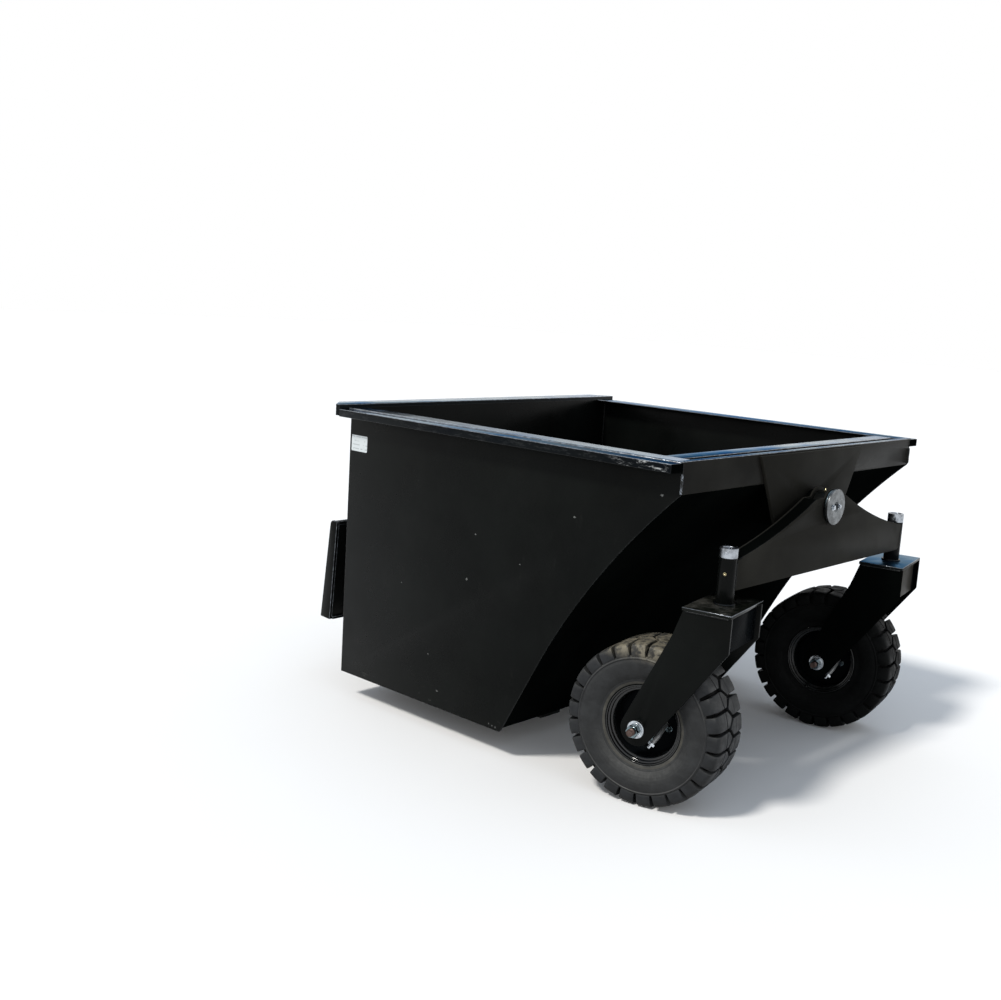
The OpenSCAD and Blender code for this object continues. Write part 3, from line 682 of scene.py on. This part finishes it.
def plain_metals():
    """CAD nodes whose own shape is right: they keep it, with a better finish."""
    for node, finish in (("pivot_pin", "zinc"), ("pivot_bushes", "bronze"), ("kingpin_bushes", "bronze")):
        frame["nodes"][node].data.materials[0] = FINISH[finish]
    for side in SIDES:
        frame["nodes"]["bearings_" + side].data.materials[0] = FINISH["steel"]


def label():
    """A thin sticker with round corners."""
    low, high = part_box("label")
    corner = 0.004
    back, front, top, foot = high.y - corner, low.y + corner, high.z - corner, low.z + corner
    corners = []
    for quarter, (y, z) in enumerate(((back, top), (front, top), (front, foot), (back, foot))):
        for k in range(5):
            angle = math.radians(90 * quarter + 22.5 * k)
            corners.append((y + corner * math.cos(angle), z + corner * math.sin(angle)))
    points = [(x, y, z) for x in (high.x, low.x) for y, z in corners]
    count = len(corners)
    faces = [tuple(range(count, 2 * count)), tuple(reversed(range(count)))]
    faces += [(j, (j + 1) % count, count + (j + 1) % count, count + j) for j in range(count)]
    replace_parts(build("label_shown", points, faces, "hopper", "label"), "label")


# ---- pivot, kingpins and axles ----


def pivot_cap():
    """The pivot's zinc washer and turned disc, with a socket in the middle and two bolts."""
    low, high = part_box("pivot_cap")
    centre, radius = upright("pivot_cap")
    out = facing((centre.x, high.y, centre.z), (0, -1, 0))
    thick = high.y - low.y
    joint_at = thick * 0.4
    hole, dish, dish_deep = 0.0115, 0.0155, 0.0025
    back = [(0.012, 0), (radius - 0.002, 0), (radius - 0.002, joint_at), (0.012, joint_at)]
    turned("pivot_washer", back, "hopper", "nut", out, 128, True, 0.001)
    face = [
        (hole, joint_at), (radius, joint_at), (radius, thick), (dish + 0.0015, thick),
        (dish, thick - dish_deep), (hole, thick - dish_deep),
    ]
    disc = turned("pivot_disc", face, "hopper", "disc", out, 128, True, 0.0012)
    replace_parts(disc, "pivot_cap")
    socket = raised(washer(0.0095, 0.004, 0.003, 40), thick - 0.0022)
    build("pivot_socket", *socket, "hopper", "socket", out, 25)
    parts = []
    for across, flats in ((-0.020, 0.014), (0.020, 0.013)):
        bolt = join_parts([washer(flats * 0.72, 0.003, 0.0012), raised(hexagon(flats, 0.005, 0.002), 0.0012)])
        parts.append(moved(bolt, Matrix.Translation((across, 0, thick))))
    bolts = build("cap_bolts_shown", *join_parts(parts), "hopper", "bright", out, 25)
    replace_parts(bolts, "cap_bolts")


def grease_fitting(name, point, outward, body):
    """A hexagon base, a waist and a ball tip."""
    place = facing(point, outward)
    base = hexagon(0.010, 0.005)
    tip = [
        (0.0034, 0.005), (0.0034, 0.008), (0.0024, 0.0095), (0.0030, 0.011), (0.0016, 0.013), (1e-5, 0.013),
    ]
    parts = join_parts([base, lathe(rounded(tip, 0.0006), 24)])
    return build(name, *parts, body, "brass", place, 30)


def grease_fittings():
    """One on each kingpin tube, turned a little to the front, and one on top of the pivot sleeve."""
    sunk, height = 0.0005, 0.785
    turn = math.radians(200)
    out = Vector((math.cos(turn), math.sin(turn), 0))
    pieces = []
    for side in SIDES:
        centre, radius = upright("kingpin_tube_" + side)
        at = Vector((centre.x, centre.y, height)) + out * (radius - sunk)
        pieces.append(grease_fitting("grease_fitting_" + side, at, out, "beam"))
    at = Vector((0, JOINTS["beam_rock"]["pos_m"][1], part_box("pivot_sleeve")[1].z - sunk))
    grease_fitting("grease_fitting_pivot", at, (0, 0, 1), "beam")
    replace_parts(pieces[0], "grease_fittings")


def collar(side):
    """The zinc collar on the kingpin: chamfered, with the pin's end inside and a cross bolt."""
    low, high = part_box("collar_" + side)
    foot, top = (corner.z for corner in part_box("kingpin_" + side))
    pin = upright("kingpin_" + side)[1]
    place, body = caster_place(side), "caster_" + side
    radius, gap = 0.029, 0.0002
    ring = [
        (pin + gap, low.z), (radius, low.z), (radius, high.z), (pin + 0.0012, high.z),
        (pin + gap, high.z - 0.0012),
    ]
    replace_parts(turned("collar_ring_" + side, ring, body, "zinc", place, 96, True, 0.0014), "collar_" + side)
    end = [(pin, foot), (pin, top), (0.006, top), (0.003, top - 0.003), (1e-5, top - 0.004)]
    shaft = turned("kingpin_shown_" + side, end, body, "zinc", place, 96, False, 0.0012)
    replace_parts(shaft, "kingpin_" + side)
    turn = math.radians(-178)
    out = Vector((math.cos(turn), math.sin(turn), 0))
    at = Vector((0, 0, (low.z + high.z) / 2)) + out * (radius - 0.0018)
    bolt = join_parts([washer(0.0075, 0.0045, 0.0022, 40), raised(hexagon(0.0078, 0.0016, 0.002), 0.0006)])
    build("collar_bolt_" + side, *bolt, body, "zinc", place @ facing(at, out), 25)


def thrust_washer(side):
    """The thin ring between the fork head and the kingpin tube."""
    low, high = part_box("thrust_washer_" + side)
    centre, outer = upright("thrust_washer_" + side)
    ring = washer(outer, 0.0192, high.z - low.z, 96)
    shown = build("thrust_ring_" + side, *ring, "caster_" + side, "socket", facing((0, 0, 0), (0, 0, 1)))
    shown.data.transform(Matrix.Translation((centre.x, centre.y, low.z)))
    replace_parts(shown, "thrust_washer_" + side)


def fork(side):
    # the right head's finish carries a painted sky reflection on its top
    softened("fork_head_" + side, 0.0014, "head_" + side, "edge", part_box("fork_head_" + side)[1].z - 0.003)
    # the right legs in painted shade
    leg_finish = "plate" if side == "left" else "shade"
    softened("fork_legs_" + side, 0.0014, leg_finish, leg_finish)
    # the left front plate in painted shade, the right one lighter as painted reflection
    front_finish = "dim" if side == "left" else "bleached"
    softened("fork_front_" + side, 0.0010, front_finish, front_finish)


def axle(side):
    """The axle bolt with its head, washers, nut, threaded end and inner spacers."""
    place, body = wheel_place(side), "caster_" + side
    leg_in, leg_out, hub_end = 0.120, 0.132, 0.0783
    bolt, bore, flats = 0.0118, 0.0124, 0.036
    washers, head_thick, nut_thick, bare_end = 0.009, 0.015, 0.024, 0.016
    shaft = lathe([(bolt, -leg_out - 0.002), (bolt, leg_out + 0.002)], 40)
    rings = join_parts([
        raised(washer(0.0285, bore, 0.0048), leg_out),
        raised(washer(0.0225, bore, 0.0042), leg_out + 0.0047),
        raised(washer(0.0168, 0.0122, leg_in - hub_end, 48), hub_end),
    ])
    head = raised(hexagon(flats, head_thick, 0.004), leg_out + washers)
    nut = raised(hexagon(flats, nut_thick, 0.004), leg_out + washers)
    build("axle_nut_" + side, *join_parts([head, mirrored(nut)]), body, "nut", place, 28)
    stack = join_parts([shaft, rings, mirrored(rings)])
    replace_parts(build("axle_shown_" + side, *stack, body, "bright", place, 28), "axle_" + side)
    end = mirrored(raised(threaded_end(bolt, bare_end), leg_out + washers + nut_thick))
    build("axle_end_" + side, *end, body, "rust", place, 28)


# ---- wheels ----

# the tread's outline from the middle over the shoulder: (across, radius) in mm at its top and its floor
TREAD_TOP = [(0, 266.4), (26, 266.3), (52, 266.1), (79, 265.2), (94.5, 260.0), (99.6, 246), (100.4, 223.6)]
TREAD_FLOOR = [(0, 252.5), (26, 252.3), (52, 251.4), (72, 248.0), (82, 242.0), (88.0, 235), (92.0, 227)]
# the share of each lug's pitch that its groove takes, at the same stations
GROOVE_SHARE = [0.19, 0.19, 0.19, 0.20, 0.22, 0.20, 0.14]
# the sidewall's outline from under the lugs in to the rim, in the same form
SIDEWALL = [
    (100.2, 223.2), (100.6, 221.4), (102.2, 220.0), (102.3, 217.8), (100.4, 215.6), (100.9, 212.5),
    (102.0, 206), (102.3, 199), (101.6, 188), (99.9, 177), (97.2, 167), (93.7, 158.5), (90.0, 151),
    (88.9, 149.4), (88.6, 147.4), (87.2, 143), (86.2, 138), (85.2, 133.4), (83.5, 132), (74, 131),
]
LUG_COUNT = 26
# how far apart the tread's inner stations are, in mm
STATION = 26
# the middle groove's swing and half width, and how far out each lug's sipe is, in mm
ZIGZAG = 13
HALF_GROOVE = 5.5
SIPE_AT = 33


def between(p, f):
    """The point at share f of the way from p[1] to p[2], on the smooth curve through four points."""
    return 0.5 * (2 * p[1] + (p[2] - p[0]) * f + (2 * p[0] - 5 * p[1] + 4 * p[2] - p[3]) * f ** 2
                  + (3 * p[1] - p[0] - 3 * p[2] + p[3]) * f ** 3)


def smooth_curve(knots, t):
    """A point on the smooth outline through the knots, at t counted in knots: level at its start."""
    t = min(max(t, 0.0), len(knots) - 1.0)
    i = min(int(t), len(knots) - 2)
    f = t - i
    p = [np.array(knots[min(max(k, 0), len(knots) - 1)], float) for k in (i - 1, i, i + 1, i + 2)]
    if i == 0:
        p[0] = np.array((-knots[1][0], knots[1][1]), float)
    return between(p, f)


def smooth_path(knots, t):
    """A point on the smooth curve through the knots in space, at t counted in knots."""
    i = min(int(t), len(knots) - 2)
    f = t - i
    p = [Vector(knots[min(max(k, 0), len(knots) - 1)]) for k in (i - 1, i, i + 1, i + 2)]
    return between(p, f)


def tread_point(t, angle, height, sign):
    """A point of the tread: t across it in knots, height 0 on its floor and 1 on its top."""
    floor, top = smooth_curve(TREAD_FLOOR, abs(t)), smooth_curve(TREAD_TOP, abs(t))
    across, radius = (floor + (top - floor) * height) * MM
    across *= sign if t >= 0 else -sign
    return radius * math.cos(angle), radius * math.sin(angle), across


def lug_block(start, pitch, sign, inner, outer, rows, columns):
    """One block of tread between two stations; inner may follow the zigzag of the middle groove.
    Its outermost points lie just under the tread's floor, and the next ones round its top edge."""
    along = [0, 0, *np.linspace(0.03, 0.97, rows), 1, 1]
    across = [0, 0, *np.linspace(0.045, 0.955, columns), 1, 1]
    points = []
    for i, step in enumerate(along):
        for j, share in enumerate(across):
            t = inner(share) + (outer - inner(share)) * step
            groove = float(np.interp(abs(t), range(len(GROOVE_SHARE)), GROOVE_SHARE))
            angle = (start + groove / 2 + (1 - groove) * share) * pitch
            height = (-0.06, 0.91, 1.0)[min(i, j, len(along) - 1 - i, len(across) - 1 - j, 2)]
            points.append(tread_point(t, angle, height, sign))
    return points, grid_faces(len(along), len(across))


def zigzag_edge(share):
    """Where a lug begins at the middle of the tread, as a station."""
    return (ZIGZAG * (1 - 4 * min(share, 1 - share)) + HALF_GROOVE) / STATION


def tyre_lugs():
    """Both rows of lugs, each split by a thin sipe, half a pitch apart across the zigzag."""
    pitch = 2 * math.pi / LUG_COUNT
    sipe = SIPE_AT / STATION
    parts = []
    for sign in (-1, 1):
        for i in range(LUG_COUNT):
            start = i + (0.5 if sign > 0 else 0.0)
            parts.append(lug_block(start, pitch, sign, zigzag_edge, sipe - 0.035, 5, 8))
            parts.append(lug_block(start, pitch, sign, lambda share: sipe + 0.035, 6.0, 16, 4))
    return join_parts(parts)


def tyre(side):
    """The casing with its sidewalls and beads, the floor of its grooves darkened as painted shade, and the
    lugs.
    """
    around, steps, last = 208, 30, len(TREAD_FLOOR) - 1
    floor_line = [tuple(smooth_curve(TREAD_FLOOR, last * k / steps)) for k in range(steps + 1)]
    floor_line = [(-across, radius) for across, radius in reversed(floor_line[1:])] + floor_line
    wall = rounded([floor_line[-1], *SIDEWALL], 1.2, 3)
    place, body = wheel_place(side), "wheel_" + side
    one_wall = lathe(in_metres([(radius, across) for across, radius in wall]), around)
    walls = join_parts([one_wall, mirrored(one_wall)])
    # each side has its own rubber: the left a lit copy, the right a shaded copy (painted light and shade)
    shown = build("tyre_walls_" + side, *walls, body, "tyre_" + side, place, 30)
    if side == "left":
        dust_round_rim(shown, place)
    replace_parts(shown, "tyre_" + side)
    grooves = lathe(in_metres([(radius, across) for across, radius in floor_line]), around)
    build("tyre_grooves_" + side, *grooves, body, "groove", place, 30)
    build("tyre_tread_" + side, *tyre_lugs(), body, "tread_" + side, place, 38)


def dust_round_rim(piece, place):
    """The ring of sidewall next to the rim, which holds the dust."""
    inner, outer = 0.1335, 0.1420
    piece.data.materials.append(FINISH["bead"])
    back = place.inverted()
    for face in piece.data.polygons:
        local = back @ face.center
        if inner < math.hypot(local.x, local.y) < outer:
            face.material_index = 1


# each half's outline, as (radius, across) in mm: disc, barrel, bead seat and stepped flange
RIM_SECTION = [
    (40, 0), (40, 5), (95, 5), (102, 9), (107, 21), (108, 52), (108, 59), (110.5, 63), (110.5, 67),
    (113.5, 69.5), (117.5, 70), (119.2, 73), (118.6, 76.5), (121, 78.5), (124, 78.8), (125.3, 81),
    (126.4, 84.6), (129, 85), (130.9, 83), (130.7, 78), (128.8, 72), (114, 67), (114, 38), (108, 0),
]


def rim(side):
    """Both halves of the split rim: a dish darkened as painted shade, and the stepped flange that the tyre
    sits against.
    """
    dish = 0.109
    half = lathe(rounded(in_metres(RIM_SECTION), 0.0011, 3, True), 144, True)
    place, body = wheel_place(side), "wheel_" + side
    for node, part in (("rim_outer_" + side, mirrored(half)), ("rim_inner_" + side, half)):
        shown = build(node + "_shown", *part, body, "dim", place, 30)
        shown.data.materials.append(FINISH["gloss"])
        for face in shown.data.polygons:
            local = place.inverted() @ face.center
            face.material_index = 1 if math.hypot(local.x, local.y) > dish else 0
        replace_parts(shown, node)


def hub(side):
    """The hub with its flange, and the bolts that hold the rim's halves to it."""
    place, body = wheel_place(side), "wheel_" + side
    section = in_metres([
        (20, -78), (34, -78), (36, -76), (36, -70), (40, -66), (40, 5), (76, 5), (76, 13), (44, 13), (40, 17),
        (40, 66), (36, 70), (36, 76), (34, 78), (20, 78),
    ])
    # the hub in the darker paint, as painted shade inside the dish
    shown = turned("hub_shown_" + side, section, body, "dim", place, 96, True, 0.0008)
    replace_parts(shown, "hub_" + side)
    circle, flats, count = 0.062, 0.0175, 5
    head = join_parts([washer(0.0105, 0.006, 0.0015), raised(hexagon(flats, 0.009, 0.004), 0.0015)])
    stud = join_parts([
        raised(hexagon(flats, 0.008, 0.004), 0.0132), raised(mirrored(head), -0.0051),
        raised(mirrored(threaded_end(0.0055, 0.013, 0.0018, 24)), -0.006),
    ])
    studs = []
    for i in range(count):
        angle = 2 * math.pi * i / count
        studs.append(moved(stud, Matrix.Translation((circle * math.cos(angle), circle * math.sin(angle), 0))))
    shown = build("rim_bolts_shown_" + side, *join_parts(studs), body, "nut", place, 28)
    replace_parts(shown, "rim_bolts_" + side)


def valve(side):
    """A bent metal stem that leaves the dish beside the hub, with a nut and a cap at its end."""
    place, body = wheel_place(side), "wheel_" + side
    knots = [(2, -49, -6), (10, -51, -34), (32, -46, -61), (53, -35, -75)]
    steps, thin_from, radius = 20, 13, 0.0085
    route = [smooth_path(knots, (len(knots) - 1) * k / steps) * MM for k in range(steps + 1)]
    thick = [radius - 0.00025 * max(0, k - thin_from) for k in range(steps + 1)]
    stem = build("valve_stem_" + side, *tube(route, thick, 18), body, "stem", place, 40)
    tip = facing(route[-1], Vector(route[-1]) - Vector(route[-3]))
    cap = [(0.0050, 0.007), (0.0058, 0.008), (0.0058, 0.018), (0.0044, 0.021), (1e-5, 0.021)]
    ring = raised(washer(0.0088, 0.003, 0.0018, 36), -0.002)
    parts = [hexagon(0.0235, 0.009, 0.003), ring, lathe(rounded(cap, 0.0006), 24)]
    build("valve_cap_" + side, *join_parts(parts), body, "bright", place @ tip, 28)
    foot = facing(route[0], Vector(route[1]) - Vector(route[0]))
    # the foot in the darker paint, as painted shade
    build("valve_foot_" + side, *hexagon(0.019, 0.006, 0.004), body, "dim", place @ foot, 28)
    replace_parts(stem, "valve_" + side)


# ---- welds and marks ----

CHIP_POINTS = 12


def welds():
    """The hopper's corner beads in front, and the beads inside along its back and floor."""
    fascia_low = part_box("front_fascia")[0]
    plate_low, plate_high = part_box("side_plate_left")
    floor_low, floor_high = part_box("floor_plate")
    half = -plate_low.x
    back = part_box("back_plate")[0].y - 0.002
    floor_top = floor_high.z + 0.002
    plate = 0.006
    for side, sign in (("left", -1), ("right", 1)):
        x = sign * (half - 0.001)
        corner = [(x, fascia_low.y + 0.0005, z) for z in (fascia_low.z + 0.004, plate_high.z - 0.034)]
        finish = "bare_weld" if side == "left" else "weld"
        weld("weld_corner_" + side, corner, "hopper", 0.0042, finish=finish)
        x = sign * (half - plate - 0.002)
        foot = (x, back, floor_top)
        weld("weld_back_" + side, [foot, (x, back, 1.12)], "hopper", 0.004)
        weld("weld_floor_" + side, [foot, (x, floor_low.y + 0.01, floor_top)], "hopper", 0.004)
    weld("weld_back_floor", [(-0.76, back, floor_top), (0.76, back, floor_top)], "hopper", 0.004)


def beam_welds():
    """The beads where the beam's plates meet the kingpin tubes, in front and behind."""
    plate_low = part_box("beam_front_plate")[0].z
    for side, sign in (("left", -1), ("right", 1)):
        centre, radius = upright("kingpin_tube_" + side)
        x = centre.x - sign * 0.0105
        for face, y in (("front", centre.y - radius + 0.0015), ("rear", centre.y + radius - 0.0015)):
            bead = [(x, y, plate_low + rise) for rise in (0.008, 0.086)]
            weld(f"weld_tube_{side}_{face}", bead, "beam", 0.0024, 0.006)


def fork_welds():
    """The beads between each fork's legs and its head, and between its legs and its front plate."""
    for side in SIDES:
        place = caster_place(side)
        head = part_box("fork_head_" + side)[0].z
        body = "caster_" + side
        for sign, name in ((-1, "a"), (1, "b")):
            along_head = [place @ Vector((sign * 0.1335, y, head - 0.0015)) for y in (-0.070, 0.070)]
            weld(f"weld_head_{side}_{name}", along_head, body, 0.0028, 0.007)
            down_front = [place @ Vector((sign * 0.1185, -0.0615, z)) for z in (0.562, head - 0.004)]
            # the front plates' beads in the darker paint, as painted shade
            weld(f"weld_front_{side}_{name}", down_front, body, 0.0030, 0.007, "dim")


def chip_outline(seed, size, stretch):
    """An uneven little blot, as points round a centre."""
    points = []
    for k in range(CHIP_POINTS):
        angle = 2 * math.pi * k / CHIP_POINTS
        along = size * stretch * (1 + 0.35 * math.sin(seed + 2.3 * k) + 0.2 * math.sin(seed * 3 + 5.1 * k))
        up = size * (1 + 0.35 * math.cos(seed * 2 + 1.7 * k))
        points.append((along * math.cos(angle), up * math.sin(angle)))
    return points


def paint_chips():
    """The few bare spots on the left side plate, each (behind the front face, height, size, stretch)."""
    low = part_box("side_plate_left")[0]
    spots = [
        (0.851, 0.600, 0.0050, 0.8), (0.392, 0.898, 0.0030, 1.5), (0.065, 1.020, 0.0035, 1.6),
        (0.821, 0.765, 0.0024, 1.6), (1.022, 0.287, 0.0026, 1.2), (0.967, 0.163, 0.0028, 1.8),
        (1.180, 0.520, 0.0018, 1.3), (0.610, 0.700, 0.0016, 1.5), (0.675, 0.112, 0.0032, 0.7),
        (0.690, 0.113, 0.0030, 0.7), (0.706, 0.116, 0.0028, 0.7),
    ]
    points, faces = [], []
    for seed, (behind, height, size, stretch) in enumerate(spots):
        start = len(points)
        for dy, dz in chip_outline(seed, size, stretch):
            points.append((low.x - 0.0002, low.y + behind + dy, height + dz))
        faces.append(tuple(range(start, start + CHIP_POINTS)))
    build("paint_chips", points, faces, "hopper", "chip")


# ---- stage ----


def floor():
    """A wide pale floor."""
    mesh = bpy.data.meshes.new("floor")
    reach = 40
    corners = [(x * reach, y * reach, 0) for x, y in ((-1, -1), (1, -1), (1, 1), (-1, 1))]
    mesh.from_pydata(corners, [], [(0, 1, 2, 3)])
    shader = Shader("pale_floor")
    shader.feed("Base Color", shader.mix(shader.noise(0.8, 2), (0.80, 0.80, 0.80), (0.84, 0.84, 0.84)))
    shader.set(Roughness=0.9, Specular_IOR_Level=0.1)
    mesh.materials.append(shader.material)
    piece = bpy.data.objects.new("floor", mesh)
    bpy.context.scene.collection.objects.link(piece)


def sky():
    """A pale studio: white round the horizon, and a softer grey-blue overhead."""
    world = bpy.data.worlds.new("studio")
    world.use_nodes = True
    nodes, links = world.node_tree.nodes, world.node_tree.links
    height = nodes.new("ShaderNodeSeparateXYZ")
    links.new(nodes.new("ShaderNodeTexCoord").outputs["Generated"], height.inputs["Vector"])
    rise = nodes.new("ShaderNodeMapRange")
    rise.inputs["From Min"].default_value = 0.30
    rise.inputs["From Max"].default_value = 0.75
    links.new(height.outputs["Z"], rise.inputs["Value"])
    blend = nodes.new("ShaderNodeMix")
    blend.data_type = "RGBA"
    low, high = [socket for socket in blend.inputs if socket.type == "RGBA"]
    low.default_value = (1.0, 1.0, 1.0, 1)
    high.default_value = (0.50, 0.58, 0.68, 1)
    links.new(rise.outputs["Result"], blend.inputs["Factor"])
    links.new(next(s for s in blend.outputs if s.type == "RGBA"), nodes["Background"].inputs["Color"])
    bpy.context.scene.world = world


def surroundings():
    sky()
    light = bpy.data.lights.new("key", "SUN")
    light.energy = 2.6
    light.angle = math.radians(9)
    light.color = (1.0, 0.965, 0.91)
    lamp = bpy.data.objects.new("key", light)
    lamp.rotation_mode = "QUATERNION"
    lamp.rotation_quaternion = Vector((-0.60, 0.08, 0.80)).to_track_quat("Z", "Y")
    bpy.context.scene.collection.objects.link(lamp)
    bpy.context.scene.view_settings.view_transform = "Standard"


def camera():
    """The photograph's viewpoint: 1.58 m up, off the left front corner, looking slightly down."""
    place = Vector((-3.7301, -2.8204, 1.5754))
    yaw, down, roll = (math.radians(a) for a in (47.7716, 9.5819, 3.5442))
    look = Vector((math.sin(yaw) * math.cos(down), math.cos(yaw) * math.cos(down), -math.sin(down)))
    level = Vector((math.cos(yaw), -math.sin(yaw), 0))
    up = level.cross(look)
    right = level * math.cos(roll) + up * math.sin(roll)
    above = up * math.cos(roll) - level * math.sin(roll)
    lens = bpy.data.cameras.new("camera")
    lens.sensor_width = 36
    lens.lens = 43.30
    view = bpy.data.objects.new("camera", lens)
    view.matrix_world = Matrix.Translation(place) @ Matrix((right, above, -look)).transposed().to_4x4()
    bpy.context.scene.collection.objects.link(view)
    bpy.context.scene.camera = view


camera()
floor()
surroundings()
hopper_plates()
coupler()
coupler_welds()
bracket()
beam()
plain_metals()
label()
pivot_cap()
grease_fittings()
for wheel_side in SIDES:
    collar(wheel_side)
    thrust_washer(wheel_side)
    fork(wheel_side)
    axle(wheel_side)
    tyre(wheel_side)
    rim(wheel_side)
    hub(wheel_side)
    valve(wheel_side)
welds()
beam_welds()
fork_welds()
paint_chips()
